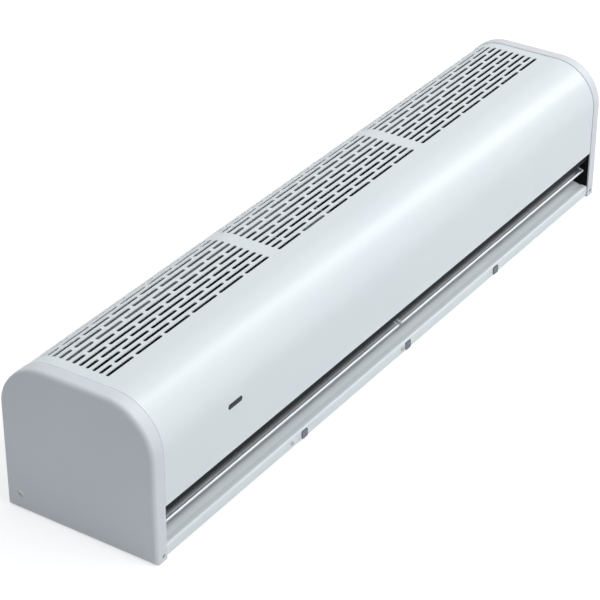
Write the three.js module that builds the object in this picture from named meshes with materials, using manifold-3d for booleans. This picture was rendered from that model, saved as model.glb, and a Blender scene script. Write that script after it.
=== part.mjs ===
// A wall-mounted air curtain: a long painted sheet-metal casing between two moulded end caps.
// A cross-flow fan with one motor in the middle draws air through slots in the top and blows it
// out of a mouth in the lower front, past two tilting vanes.
// Millimetres. X runs along the length, the front faces -Y, the wall side faces +Y, Z is up.
// The origin is the middle of the underside.
import * as THREE from "three";
import { mergeGeometries, mergeVertices } from "three/addons/utils/BufferGeometryUtils.js";
import Module from "manifold-3d";

const wasm = await Module();
wasm.setup();

// ---- Driving dimensions ----

// Casing
const LENGTH = 1008;
const DEPTH = 202;
const HEIGHT = 194;
const FRONT_RADIUS = 60;
const REAR_RADIUS = 58;
const SHEET = 1.2;
const FIT = 0.3; // gap between pieces that touch
const REAR_SKIRT_Z = 118; // lower edge of the casing at the back
const OUTLET_TOP_Z = 68; // lower edge of the casing at the front

// End caps
const CAP_WIDTH = 19;
const CAP_WALL = 2;
const CAP_ROUND = 6;
const CAP_STEPS = 3; // facets round its edge
const TUCK = 5; // how far the casing reaches under the rim of a cap

// Intake slots
const GROUP_COUNT = 3;
const GROUP_GAP = 20.3;
const END_MARGIN = 34.8;
const SLOTS_IN_ROW = 6;
const SLOT_GAP = 5;
const SLOT_WIDTH = 4.5;
const ROW_COUNT = 13;
const ROW_PITCH = 8.93;
const FIRST_ROW_FROM_BACK = 118.4;

// Lip and floor of the mouth
const LIP_HEIGHT = 16;
const LIP_RETURN = 8;
const REAR_FLANGE_HEIGHT = 20;

// Fan
const AXIS_FROM_BACK = 79;
const AXIS_Z = 108;
const FAN_RADIUS = 46;
const FAN_START = 64; // from the middle of the casing to a fan's inner disc
const FAN_END_GAP = 10.1; // between a fan's outer disc and the side plate
const BLADE_COUNT = 16;
const BLADE_DEPTH = 8.5;
const BLADE_THICKNESS = 1.2;
const BLADE_LEAN = 0.16; // radians that a blade's outer edge leads its inner edge
const DISC_THICKNESS = 2;
const DISC_RIM = 1; // how far a disc stands out past the blades
const HUB_RADIUS = 10;
const HUB_LENGTH = 18;
const SHAFT_RADIUS = 4;

// Scroll behind the fan
const SCROLL_TOP_ANGLE = 20; // degrees above level at the back
const SCROLL_LEAVE_ANGLE = -75; // where the spiral runs out into the floor of the mouth
const SCROLL_TOP_GAP = 6.3;
const SCROLL_GROWTH = 0.088; // radius gained per degree
const SCROLL_STEPS = 10;

// Tongue plate in front of the fan
const TONGUE_GAP = 5.5;
const TONGUE_NOSE_Z = 95;
const TONGUE_NOSE = 5;
const TONGUE_FLANGE = 20;

// Motor
const MOTOR_RADIUS = 38;
const MOTOR_LENGTH = 68;
const BOSS_RADIUS = 13;
const BOSS_LENGTH = 18;
const RING_WALL = 4.7;
const RING_WIDTH = 10;
const STRAP_WALL = 3.5;
const STRAP_WIDTH = 8;
const CRADLE_WIDTH = 3;
const CRADLE_BASE = 3;

// Bearings
const BEARING_RADIUS = 11;
const BEARING_WIDTH = 8;
const SEAT_WALL = 4.4;
const SEAT_FLANGE = 7;
const SEAT_WIDTH = 9;

// Vanes
const VANE_CHORD = 34;
const VANE_THICKNESS = 2.4;
const VANE_BEAD = 2; // radius of the round front edge
const VANE_TILT = 25; // degrees that the front edge hangs below the pivot
const VANE_PIVOT_BACK = 21.5; // from the face of the casing back to the pivot
const VANE_PIVOT_Z = 48;
const VANE_PIN_RADIUS = 2.5;
const VANE_PLUG = 2.5;
const VANE_END_GAP = 1;
const VANE_BRACKET = 3;
const BRACKET_RADIUS = 6.5;

// Rail under the front edge of the casing
const RAIL_THICKNESS = 3.2;
const RAIL_HEIGHT = 22;
const RAIL_DROP = 11;

// Wall bracket
const BRACKET_FROM_END = 74;
const BRACKET_LOW_Z = 26;
const BRACKET_HIGH_Z = 112;
const BRACKET_HOLE_RADIUS = 4;
const OUTER_HOLE_FROM_END = 50; // from the end of the bracket
const INNER_HOLE_X = 130;

// Electrics
const BOX_FROM_END = 31.8; // from the end of the duct
const BOX_LENGTH = 212;
const BOX_FROM_BACK = 6; // from the back plate
const BOX_DEPTH = 56;
const BOX_HEIGHT = 30;
const BOARD_LENGTH = 116;
const BOARD_DEPTH = 44;
const BOARD_THICKNESS = 1.6;
const BOARD_INSET = 12; // from the end of the box
const POST_HEIGHT = 5;
const POST_RADIUS = 3;
const POST_INSET = 6; // from the edges of the board
const RELAY_PLACE = [14, 8];
const RELAY_SIZE = [19, 16, 15];
const TRANSFORMER_PLACE = [70, 8];
const TRANSFORMER_SIZE = [30, 24, 17];
const SINK = 0.5; // how far a part on the board reaches into it
const CAPACITOR_SIZE = [48, 18, 24];
const TERMINAL_SIZE = [42, 18, 15];
const BLOCK_GAP = 16; // from the board to these two
const GROMMET_FROM_END = 26.8; // from the end of the duct
const GROMMET_Z = 60;
const GROMMET_BORE = 5;
const GROMMET_WALL = 2;
const GROMMET_FLANGE = 3;
const LEAD_RADIUS = 3;

// Receiver
const WINDOW_FROM_END = 149;
const WINDOW_FROM_TOP = 67;
const WINDOW_LENGTH = 26;
const WINDOW_HEIGHT = 6.5;
const WINDOW_FLANGE = 2;
const RECEIVER_THICKNESS = 1.6;

// Clips and screws on the lip, and the screws of the caps
const CLIP_XS = { left: -219, centre: 10, right: 228 };
const CLIP_WIDTH = 7;
const CLIP_HEIGHT = 10;
const CLIP_THICKNESS = 1.2;
const LIP_SCREW_XS = { left: -244, centre: -3 };
const SMALL_HEAD = 2.8;
const SMALL_SHANK = 1.4;
const HEAD_HEIGHT = 1.2;
const CAP_HEAD = 3.6;
const CAP_SHANK = 1.9;
const CAP_SCREW_BACK = 17; // from the back of a cap
const CAP_SCREW_Z = 22;
const CAP_SCREW_BOSS = 8;
const CORNER_SCREW_Z = 7;
const CORNER_SCREW_REACH = 6.5; // from the rim of a cap

// ---- Values worked out from them ----

const SKIN_INSET = CAP_WALL + FIT;
const LINING_INSET = SKIN_INSET + SHEET + FIT;
const RIM_X = LENGTH / 2 - CAP_WIDTH;
const SKIN_END_X = RIM_X + TUCK;
const SKIN_FRONT_Y = -DEPTH / 2 + SKIN_INSET;
const SKIN_BACK_Y = DEPTH / 2 - SKIN_INSET;
const SKIN_TOP_Z = HEIGHT - SKIN_INSET;
const FLOOR_Z = SKIN_INSET + SHEET;
const SIDE_PLATE_X = RIM_X - SHEET + FIT; // inner face of a side plate
const DUCT_END_X = SIDE_PLATE_X - FIT;
const BACK_PLATE_Y = SKIN_BACK_Y - SHEET - FIT - SHEET; // inner face of the back plate
const AXIS_Y = DEPTH / 2 - AXIS_FROM_BACK;
const FAN_LENGTH = SIDE_PLATE_X - FAN_START - FAN_END_GAP;
const SCROLL_FLANGE_Z = AXIS_Z + scrollRadius(SCROLL_TOP_ANGLE) * Math.sin(radians(SCROLL_TOP_ANGLE));
const BORE_RADIUS = SHAFT_RADIUS + FIT;
const SEAT_BORE = BEARING_RADIUS + FIT;
const SEAT_NECK = SEAT_BORE + SEAT_WALL;
const RING_BORE = BOSS_RADIUS + FIT;
const STRAP_BORE = RING_BORE + RING_WALL + FIT;
const STRAP_OUTER = STRAP_BORE + STRAP_WALL;
const RING_X = MOTOR_LENGTH / 2 + BOSS_LENGTH / 2 + 2;
const GROMMET_NECK = GROMMET_BORE + GROMMET_WALL;
const PIVOT_Y = SKIN_FRONT_Y + VANE_PIVOT_BACK;
const GROMMET_X = -DUCT_END_X + GROMMET_FROM_END;
const WINDOW_X = -LENGTH / 2 + WINDOW_FROM_END;
const WINDOW_Z = HEIGHT - WINDOW_FROM_TOP;
const VANE_BRACKET_X = DUCT_END_X - VANE_BRACKET;
const SIDES = { left: -1, right: 1 };

// ---- Finishes ----

const FINISHES = {
  paint: { color: 0xdbe3e6, roughness: 0.38, metalness: 0.1 },
  capPlastic: { color: 0xd6dbe0, roughness: 0.42, metalness: 0 },
  zinc: { color: 0xa9aeb2, roughness: 0.4, metalness: 0.85 },
  blackPlastic: { color: 0x17181a, roughness: 0.5, metalness: 0 },
  vane: { color: 0xe4e8ea, roughness: 0.35, metalness: 0.2 },
  fan: { color: 0x3c4146, roughness: 0.45, metalness: 0.6 },
  motor: { color: 0x6f767c, roughness: 0.45, metalness: 0.7 },
  steel: { color: 0xc3c7ca, roughness: 0.25, metalness: 1 },
  rubber: { color: 0x1c1c1d, roughness: 0.85, metalness: 0 },
  board: { color: 0x2d5a3a, roughness: 0.5, metalness: 0 },
  cream: { color: 0xe6e1d2, roughness: 0.5, metalness: 0 },
  screw: { color: 0x8f9498, roughness: 0.35, metalness: 0.9 },
};

// ---- Small helpers ----

function radians(degrees) {
  return (degrees * Math.PI) / 180;
}

// A closed geometry as a solid that can be joined and cut.
function solid(geometry) {
  const bare = geometry.clone();
  bare.deleteAttribute("normal");
  bare.deleteAttribute("uv");
  const merged = mergeVertices(bare, 1e-4);
  return new wasm.Manifold(
    new wasm.Mesh({
      numProp: 3,
      vertProperties: new Float32Array(merged.attributes.position.array),
      triVerts: new Uint32Array(merged.index.array),
    }),
  );
}

// The geometry of a solid.
function geometryOf(shape) {
  const mesh = shape.getMesh();
  const geometry = new THREE.BufferGeometry();
  geometry.setAttribute("position", new THREE.BufferAttribute(mesh.vertProperties, 3));
  geometry.setIndex(new THREE.BufferAttribute(mesh.triVerts, 1));
  geometry.computeVertexNormals();
  return geometry;
}

function join(...geometries) {
  return geometryOf(geometries.map(solid).reduce((whole, next) => whole.add(next)));
}

function cut(base, ...tools) {
  return geometryOf(tools.map(solid).reduce((whole, tool) => whole.subtract(tool), solid(base)));
}

// An outline in the YZ plane carried along X from start to end.
function prismX(outline, start, end, curveSegments = 4) {
  const geometry = new THREE.ExtrudeGeometry(outline, {
    depth: end - start,
    bevelEnabled: false,
    curveSegments,
  });
  return layAlongX(geometry).translate(start, 0, 0);
}

// Turns a geometry drawn in XY and extruded along Z so that its outline lies in YZ.
function layAlongX(geometry) {
  const turn = new THREE.Matrix4().makeBasis(
    new THREE.Vector3(0, 1, 0),
    new THREE.Vector3(0, 0, 1),
    new THREE.Vector3(1, 0, 0),
  );
  return geometry.applyMatrix4(turn);
}

function box(low, high) {
  const size = high.map((value, i) => value - low[i]);
  const middle = high.map((value, i) => (value + low[i]) / 2);
  return new THREE.BoxGeometry(...size).translate(...middle);
}

function rodX(radius, start, end, sides = 24) {
  return new THREE.CylinderGeometry(radius, radius, end - start, sides)
    .rotateZ(-Math.PI / 2)
    .translate((start + end) / 2, 0, 0);
}

function rodY(radius, start, end, sides = 16) {
  return new THREE.CylinderGeometry(radius, radius, end - start, sides).translate(0, (start + end) / 2, 0);
}

function ringShape(outer, inner) {
  const ring = new THREE.Shape().absarc(0, 0, outer, 0, 2 * Math.PI);
  ring.holes.push(new THREE.Path().absarc(0, 0, inner, 0, 2 * Math.PI));
  return ring;
}

// A round ring whose axis is X.
function ringX(outer, inner, start, end, curveSegments = 12) {
  return prismX(ringShape(outer, inner), start, end, curveSegments);
}

// The outline of a bent sheet: the path is one face, and the other lies thickness to its left.
function sheetOutline(path, thickness) {
  const directions = path.slice(1).map((point, i) => point.clone().sub(path[i]).normalize());
  const far = path.map((point, i) => {
    const before = directions[Math.max(i - 1, 0)];
    const after = directions[Math.min(i, directions.length - 1)];
    const normal = new THREE.Vector2(-before.y - after.y, before.x + after.x);
    const reach = thickness / (1 + before.dot(after));
    return point.clone().addScaledVector(normal, reach);
  });
  return new THREE.Shape([...path, ...far.reverse()]);
}

function points(...pairs) {
  return pairs.map(([y, z]) => new THREE.Vector2(y, z));
}

function named(name, geometry, finish) {
  const mesh = new THREE.Mesh(geometry, new THREE.MeshStandardMaterial(FINISHES[finish]));
  mesh.name = name;
  return mesh;
}

function at(mesh, x, y, z) {
  mesh.position.set(x, y, z);
  return mesh;
}

function group(...children) {
  const made = new THREE.Group();
  made.add(...children);
  return made;
}

// ---- Casing ----

// The end view of the casing, drawn in by an inset, with its own inset at the back if one is given.
function endOutline(inset, backInset = inset) {
  const floor = inset;
  const front = -DEPTH / 2 + inset;
  const back = DEPTH / 2 - backInset;
  const top = HEIGHT - inset;
  const frontRound = FRONT_RADIUS - inset;
  const rearRound = REAR_RADIUS - inset;
  const outline = new THREE.Shape();
  outline.moveTo(front, floor);
  outline.lineTo(back, floor);
  outline.lineTo(back, top - rearRound);
  outline.absarc(back - rearRound, top - rearRound, rearRound, 0, Math.PI / 2, false);
  outline.lineTo(front + frontRound, top);
  outline.absarc(front + frontRound, top - frontRound, frontRound, Math.PI / 2, Math.PI, false);
  outline.lineTo(front, floor);
  return outline;
}

// The place and lean of each row of slots: level on the top, then round the rear corner.
function slotRow(index) {
  const round = REAR_RADIUS - SKIN_INSET;
  const centreY = SKIN_BACK_Y - round;
  const run = DEPTH / 2 - FIRST_ROW_FROM_BACK + index * ROW_PITCH;
  const lean = Math.max(0, (run - centreY) / round);
  const y = lean > 0 ? centreY + round * Math.sin(lean) : run;
  const z = SKIN_TOP_Z - round + round * Math.cos(lean);
  return { y, z, lean };
}

// Start and end of each slot of one row of a group, from the start of the group.
function slotSpans(index, groupLength) {
  const pitch = (groupLength + SLOT_GAP) / SLOTS_IN_ROW;
  const shift = index % 2 ? pitch / 2 : 0;
  const spans = [];
  for (let slot = index % 2 ? -1 : 0; slot < SLOTS_IN_ROW; slot++) {
    const start = Math.max(0, slot * pitch + shift);
    const end = Math.min(groupLength, (slot + 1) * pitch + shift - SLOT_GAP);
    spans.push([start, end]);
  }
  return spans;
}

function slotCutters() {
  const clear = LENGTH - 2 * END_MARGIN - (GROUP_COUNT - 1) * GROUP_GAP;
  const groupLength = clear / GROUP_COUNT;
  const cutters = [];
  for (let section = 0; section < GROUP_COUNT; section++) {
    const sectionX = -LENGTH / 2 + END_MARGIN + section * (groupLength + GROUP_GAP);
    for (let row = 0; row < ROW_COUNT; row++) {
      const { y, z, lean } = slotRow(row);
      for (const [start, end] of slotSpans(row, groupLength)) {
        const cutter = new THREE.BoxGeometry(end - start, SLOT_WIDTH, 4 * SHEET);
        cutter.rotateX(-lean).translate(sectionX + (start + end) / 2, y, z);
        cutters.push(cutter);
      }
    }
  }
  return mergeGeometries(cutters);
}

// Front, top and upper back in one bent sheet, with the intake slots and the receiver's window.
function casingShell() {
  const body = cut(
    prismX(endOutline(SKIN_INSET), -SKIN_END_X, SKIN_END_X),
    prismX(endOutline(SKIN_INSET + SHEET), -LENGTH, LENGTH),
    box([-LENGTH, -DEPTH, -HEIGHT], [LENGTH, 0, OUTLET_TOP_Z]),
    box([-LENGTH, -1, -HEIGHT], [LENGTH, DEPTH, REAR_SKIRT_Z]),
    slotCutters(),
    windowPrism(FIT, SKIN_FRONT_Y - SHEET, SKIN_FRONT_Y + 2 * SHEET),
  );
  return named("casing_shell", body, "paint");
}

// The outside of a cap: its edges are round, but for the one along the wall, which stays sharp.
function capSolid() {
  const corners = [];
  for (let step = -1; step <= CAP_STEPS; step++) {
    const angle = (Math.max(step, 0) / CAP_STEPS) * (Math.PI / 2);
    const x = step < 0 ? 0 : CAP_WIDTH - CAP_ROUND * (1 - Math.sin(angle));
    const outline = endOutline(CAP_ROUND * (1 - Math.cos(angle)), 0);
    for (const point of outline.extractPoints(4).shape) corners.push([x, point.x, point.y]);
  }
  return geometryOf(wasm.Manifold.hull(corners));
}

// A cup over one end of the casing; its open side faces -X.
function capGeometry() {
  const outside = capSolid();
  const inside = roundedPrism(endOutline(CAP_WALL), CAP_WIDTH - CAP_WALL, CAP_ROUND - CAP_WALL);
  const backY = DEPTH / 2 - CAP_SCREW_BACK;
  const bossFloor = CAP_WIDTH - CAP_WALL - CAP_ROUND - FIT;
  const boss = rodX(CAP_SCREW_BOSS, bossFloor, CAP_WIDTH - 1).translate(0, backY, CAP_SCREW_Z);
  const corner = [CORNER_SCREW_REACH, -DEPTH / 2, CORNER_SCREW_Z];
  return cut(
    join(cut(outside, inside), boss),
    rodX(CAP_HEAD + FIT, CAP_WIDTH - HEAD_HEIGHT - 2 * FIT, CAP_WIDTH + 1).translate(0, backY, CAP_SCREW_Z),
    rodX(CAP_SHANK + FIT, 0, CAP_WIDTH).translate(0, backY, CAP_SCREW_Z),
    rodY(SMALL_HEAD + FIT, -1, HEAD_HEIGHT + FIT).translate(...corner),
    rodY(SMALL_SHANK + FIT, -1, 2 * CAP_WALL).translate(...corner),
  );
}

// An outline carried along X up to a face at the given x, whose edge is rounded.
function roundedPrism(outline, faceX, round) {
  const geometry = new THREE.ExtrudeGeometry(outline, {
    depth: faceX,
    bevelThickness: round,
    bevelSize: round,
    bevelOffset: -round,
    bevelSegments: 3,
    curveSegments: 4,
  });
  return layAlongX(geometry).translate(-round, 0, 0);
}

function endCap(side) {
  const geometry = capGeometry();
  const mesh = named(side + "_end_cap", SIDES[side] > 0 ? geometry : mirrored(geometry), "capPlastic");
  return at(mesh, SIDES[side] * RIM_X, 0, 0);
}

// The same geometry reflected in X, with its faces turned to point outwards again.
function mirrored(geometry) {
  const flipped = geometry.clone().applyMatrix4(new THREE.Matrix4().makeScale(-1, 1, 1));
  const index = flipped.index.array;
  for (let i = 0; i < index.length; i += 3) [index[i + 1], index[i + 2]] = [index[i + 2], index[i + 1]];
  return flipped;
}

// Underside with its front lip, which is bent back over the floor of the mouth.
function bottomPlate() {
  const path = points(
    [SKIN_FRONT_Y + LIP_RETURN, LIP_HEIGHT],
    [SKIN_FRONT_Y, LIP_HEIGHT],
    [SKIN_FRONT_Y, SKIN_INSET],
    [SKIN_BACK_Y, SKIN_INSET],
    [SKIN_BACK_Y, REAR_FLANGE_HEIGHT],
  );
  const hole = (x, radius, z) => rodY(radius, -2 * SHEET, 2 * SHEET).translate(x, SKIN_FRONT_Y, z);
  const middle = (SKIN_INSET + LIP_HEIGHT) / 2;
  const notchLow = [DUCT_END_X, SKIN_FRONT_Y + SHEET, FLOOR_Z];
  const notchHigh = [LENGTH, SKIN_FRONT_Y + 2 * LIP_RETURN, 2 * LIP_HEIGHT];
  const notch = box(notchLow, notchHigh);
  const body = cut(
    prismX(sheetOutline(path, SHEET), -SKIN_END_X, SKIN_END_X),
    notch,
    notch.clone().translate(-LENGTH - DUCT_END_X, 0, 0),
    ...Object.values(CLIP_XS).map((x) => hole(x, SMALL_SHANK + FIT, middle)),
    ...Object.values(LIP_SCREW_XS).map((x) => hole(x, SMALL_SHANK + FIT, middle)),
  );
  return named("bottom_plate", body, "paint");
}

function backPlate() {
  const plate = box(
    [-DUCT_END_X, BACK_PLATE_Y, FLOOR_Z + FIT],
    [DUCT_END_X, BACK_PLATE_Y + SHEET, REAR_SKIRT_Z + ROW_PITCH],
  );
  const entry = rodY(GROMMET_NECK + FIT, -DEPTH, DEPTH).translate(GROMMET_X, 0, GROMMET_Z);
  return named("back_plate", cut(plate, entry), "zinc");
}

// A channel that is screwed to the wall; the casing hangs on it.
function wallBracket() {
  const back = DEPTH / 2;
  const front = BACK_PLATE_Y + SHEET + FIT;
  const path = points(
    [front, BRACKET_LOW_Z],
    [back, BRACKET_LOW_Z],
    [back, BRACKET_HIGH_Z],
    [front, BRACKET_HIGH_Z],
  );
  const end = LENGTH / 2 - BRACKET_FROM_END;
  const body = prismX(sheetOutline(path, SHEET), -end, end);
  const middle = (BRACKET_LOW_Z + BRACKET_HIGH_Z) / 2;
  const outer = end - OUTER_HOLE_FROM_END;
  const holes = [-outer, -INNER_HOLE_X, INNER_HOLE_X, outer].map((x) =>
    rodY(BRACKET_HOLE_RADIUS, 0, DEPTH).translate(x, 0, middle),
  );
  return named("wall_bracket", cut(body, ...holes), "zinc");
}

// A shallow tray across one end of the casing that carries a bearing; its hollow faces outwards.
function sidePlate(side) {
  const reach = CAP_WIDTH / 2;
  const tray = cut(
    prismX(endOutline(LINING_INSET), 0, reach),
    prismX(endOutline(LINING_INSET + SHEET), SHEET, LENGTH),
    rodX(SEAT_NECK + FIT, -LENGTH, LENGTH).translate(0, AXIS_Y, AXIS_Z),
  );
  const mesh = named(side + "_side_plate", SIDES[side] > 0 ? tray : mirrored(tray), "blackPlastic");
  return at(mesh, SIDES[side] * SIDE_PLATE_X, 0, 0);
}

// ---- Air path ----

function scrollRadius(degrees) {
  return FAN_RADIUS + SCROLL_TOP_GAP + SCROLL_GROWTH * (SCROLL_TOP_ANGLE - degrees);
}

// The spiral wall behind the fan, with a flange to the back plate and a straight floor to the lip.
function scrollPlate() {
  const spiral = [];
  for (let step = 0; step <= SCROLL_STEPS; step++) {
    const degrees = THREE.MathUtils.lerp(SCROLL_TOP_ANGLE, SCROLL_LEAVE_ANGLE, step / SCROLL_STEPS);
    const radius = scrollRadius(degrees);
    const angle = radians(degrees);
    spiral.push([AXIS_Y + radius * Math.cos(angle), AXIS_Z + radius * Math.sin(angle)]);
  }
  const lip = [SKIN_FRONT_Y + LIP_RETURN + FIT, LIP_HEIGHT];
  const path = points(lip, ...spiral.reverse(), [BACK_PLATE_Y - FIT, SCROLL_FLANGE_Z]);
  const body = cut(
    prismX(sheetOutline(path, -SHEET), -DUCT_END_X, DUCT_END_X),
    new THREE.CylinderGeometry(LEAD_RADIUS + 2 * FIT, LEAD_RADIUS + 2 * FIT, SHEET * 4, 16)
      .rotateX(Math.PI / 2)
      .translate(LEAD_HOLE[0], LEAD_HOLE[1], SCROLL_FLANGE_Z),
  );
  return named("scroll_plate", body, "paint");
}

// The plate that divides intake from outlet: it hangs behind the casing's front edge, runs back
// over the mouth to a nose close to the fan, and rises to the underside of the top.
function tonguePlate() {
  const flangeY = SKIN_FRONT_Y + SHEET + FIT + RAIL_THICKNESS + FIT;
  const noseY = AXIS_Y - FAN_RADIUS - TONGUE_GAP;
  const path = points(
    [flangeY, OUTLET_TOP_Z + TONGUE_FLANGE],
    [flangeY, OUTLET_TOP_Z],
    [noseY - TONGUE_NOSE, TONGUE_NOSE_Z - TONGUE_NOSE],
    [noseY, TONGUE_NOSE_Z],
    [noseY, TONGUE_NOSE_Z + TONGUE_NOSE],
    [noseY - TONGUE_NOSE, TONGUE_NOSE_Z + 2 * TONGUE_NOSE],
    [noseY - TONGUE_NOSE, SKIN_TOP_Z - SHEET - FIT],
  );
  const body = prismX(sheetOutline(path, SHEET), -DUCT_END_X, DUCT_END_X);
  return named("tongue_plate", body, "zinc");
}

// Black rail behind the casing's front edge.
function outletRail() {
  const front = SKIN_FRONT_Y + SHEET + FIT;
  const low = OUTLET_TOP_Z - RAIL_DROP;
  const body = box([-DUCT_END_X, front, low], [DUCT_END_X, front + RAIL_THICKNESS, low + RAIL_HEIGHT]);
  return named("outlet_rail", body, "blackPlastic");
}

// ---- Vanes ----

// Section of a vane about its pivot: a flat slat with a round bead along its front edge.
function vaneOutline() {
  const half = VANE_THICKNESS / 2;
  const front = -VANE_CHORD / 2;
  const start = Math.asin(half / VANE_BEAD);
  const outline = new THREE.Shape();
  outline.moveTo(VANE_CHORD / 2, -half);
  outline.lineTo(VANE_CHORD / 2, half);
  outline.lineTo(front + VANE_BEAD * Math.cos(start), half);
  outline.absarc(front, 0, VANE_BEAD, start, 2 * Math.PI - start, false);
  outline.lineTo(VANE_CHORD / 2, -half);
  return outline;
}

// A slat with a plug at each end; each plug's pin turns in a hole of a vane bracket.
function vane(side) {
  const inner = VANE_BRACKET / 2 + VANE_END_GAP;
  const outer = VANE_BRACKET_X - VANE_END_GAP;
  const slat = prismX(vaneOutline(), inner + VANE_PLUG + FIT, outer - VANE_PLUG - FIT);
  const pinLength = VANE_END_GAP + VANE_BRACKET / 2 - FIT;
  const pin = rodX(VANE_PIN_RADIUS, -pinLength, VANE_PLUG / 2, 16);
  const plug = join(prismX(vaneOutline(), 0, VANE_PLUG), pin);
  const innerPlug = at(named(side + "_vane_inner_pin", plug, "vane"), inner, 0, 0);
  const outerPlug = at(named(side + "_vane_outer_pin", mirrored(plug), "vane"), outer, 0, 0);
  const body = group(named(side + "_vane", slat, "vane"), innerPlug, outerPlug);
  if (SIDES[side] < 0) turnRound(body, inner + outer);
  body.position.set(0, PIVOT_Y, VANE_PIVOT_Z);
  body.rotation.x = radians(VANE_TILT);
  return body;
}

// Moves each mesh of a group from one side of the middle to the other.
function turnRound(body, span) {
  for (const mesh of body.children) mesh.position.x -= span;
}

// Height of the underside of the tongue plate at a given y.
function ceilingZ(y) {
  const flangeY = SKIN_FRONT_Y + SHEET + FIT + RAIL_THICKNESS + FIT;
  const noseY = AXIS_Y - FAN_RADIUS - TONGUE_GAP - TONGUE_NOSE;
  const rise = (TONGUE_NOSE_Z - TONGUE_NOSE - OUTLET_TOP_Z) / (noseY - flangeY);
  return OUTLET_TOP_Z + rise * (y - flangeY);
}

// A black hanger under the tongue plate with a round eye for the pins of the vanes.
function vaneBracket(name, x) {
  const reach = BRACKET_RADIUS;
  const hanger = new THREE.Shape();
  hanger.moveTo(PIVOT_Y - reach, VANE_PIVOT_Z);
  hanger.absarc(PIVOT_Y, VANE_PIVOT_Z, reach, Math.PI, 2 * Math.PI, false);
  hanger.lineTo(PIVOT_Y + 2 * reach, ceilingZ(PIVOT_Y + 2 * reach) - FIT);
  hanger.lineTo(PIVOT_Y - reach, ceilingZ(PIVOT_Y - reach) - FIT);
  const eye = new THREE.Path().absarc(PIVOT_Y, VANE_PIVOT_Z, VANE_PIN_RADIUS + FIT, 0, 2 * Math.PI);
  hanger.holes.push(eye);
  return at(named(name, prismX(hanger, 0, VANE_BRACKET, 8), "blackPlastic"), x, 0, 0);
}

// ---- Fan ----

// One blade's section, bent forward, from its inner to its outer edge.
function bladeOutline(angle) {
  const stations = [0, 1];
  const radius = (share) => FAN_RADIUS - DISC_RIM - BLADE_DEPTH * (1 - share);
  const place = (share, offset) => {
    const turn = angle + BLADE_LEAN * share * share;
    const along = new THREE.Vector2(Math.cos(turn), Math.sin(turn)).multiplyScalar(radius(share));
    return along.add(new THREE.Vector2(-Math.sin(turn), Math.cos(turn)).multiplyScalar(offset));
  };
  const near = stations.map((share) => place(share, -BLADE_THICKNESS / 2));
  const far = stations.map((share) => place(share, BLADE_THICKNESS / 2));
  return new THREE.Shape([...near, ...far.reverse()]);
}

// A cross-flow fan about the X axis, with its inner disc at x = 0 and a hub at each end.
function fanGeometry() {
  const blades = [];
  for (let blade = 0; blade < BLADE_COUNT; blade++) {
    const outline = bladeOutline((blade / BLADE_COUNT) * 2 * Math.PI);
    blades.push(prismX(outline, DISC_THICKNESS / 2, FAN_LENGTH - DISC_THICKNESS / 2));
  }
  const middle = FAN_LENGTH / 2;
  const far = FAN_LENGTH - DISC_THICKNESS;
  return join(
    mergeGeometries(blades),
    ringX(FAN_RADIUS, BORE_RADIUS, 0, DISC_THICKNESS),
    ringX(FAN_RADIUS, BORE_RADIUS, middle, middle + DISC_THICKNESS),
    ringX(FAN_RADIUS, BORE_RADIUS, far, FAN_LENGTH),
    ringX(HUB_RADIUS, BORE_RADIUS, DISC_THICKNESS / 2, DISC_THICKNESS + HUB_LENGTH),
    ringX(HUB_RADIUS, BORE_RADIUS, far - HUB_LENGTH, FAN_LENGTH - DISC_THICKNESS / 2),
  );
}

// Everything that turns: the motor's shaft, both fans and the stub shafts at their far ends.
function rotor() {
  const fan = fanGeometry();
  const shaftEnd = FAN_START + HUB_LENGTH;
  const stub = rodX(SHAFT_RADIUS, FAN_START + FAN_LENGTH - HUB_LENGTH, SIDE_PLATE_X + BEARING_WIDTH);
  const body = group(
    named("motor_shaft", rodX(SHAFT_RADIUS, -shaftEnd, shaftEnd), "steel"),
    at(named("right_fan", fan, "fan"), FAN_START, 0, 0),
    at(named("left_fan", mirrored(fan), "fan"), -FAN_START, 0, 0),
    named("right_stub_shaft", stub, "steel"),
    named("left_stub_shaft", stub.clone().rotateY(Math.PI), "steel"),
  );
  return at(body, 0, AXIS_Y, AXIS_Z);
}

function motorBody() {
  const half = MOTOR_LENGTH / 2;
  const profile = [
    [BORE_RADIUS, -half - BOSS_LENGTH],
    [BOSS_RADIUS, -half - BOSS_LENGTH],
    [BOSS_RADIUS, -half],
    [MOTOR_RADIUS - SHEET, -half],
    [MOTOR_RADIUS, -half + SHEET],
    [MOTOR_RADIUS, half - SHEET],
    [MOTOR_RADIUS - SHEET, half],
    [BOSS_RADIUS, half],
    [BOSS_RADIUS, half + BOSS_LENGTH],
    [BORE_RADIUS, half + BOSS_LENGTH],
    [BORE_RADIUS, -half - BOSS_LENGTH],
  ];
  return named("motor_body", turned(profile, 24), "motor");
}

// A profile of radius and place along the axis, turned about X.
function turned(profile, sides) {
  const path = profile.map(([radius, along]) => new THREE.Vector2(radius, along));
  return new THREE.LatheGeometry(path, sides).rotateZ(-Math.PI / 2);
}

// Half a ring about the X axis, from one angle to another.
function halfRing(from, to) {
  const half = new THREE.Shape();
  half.absarc(0, 0, STRAP_OUTER, from, to, false);
  half.absarc(0, 0, STRAP_BORE, to, from, true);
  return half;
}

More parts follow.
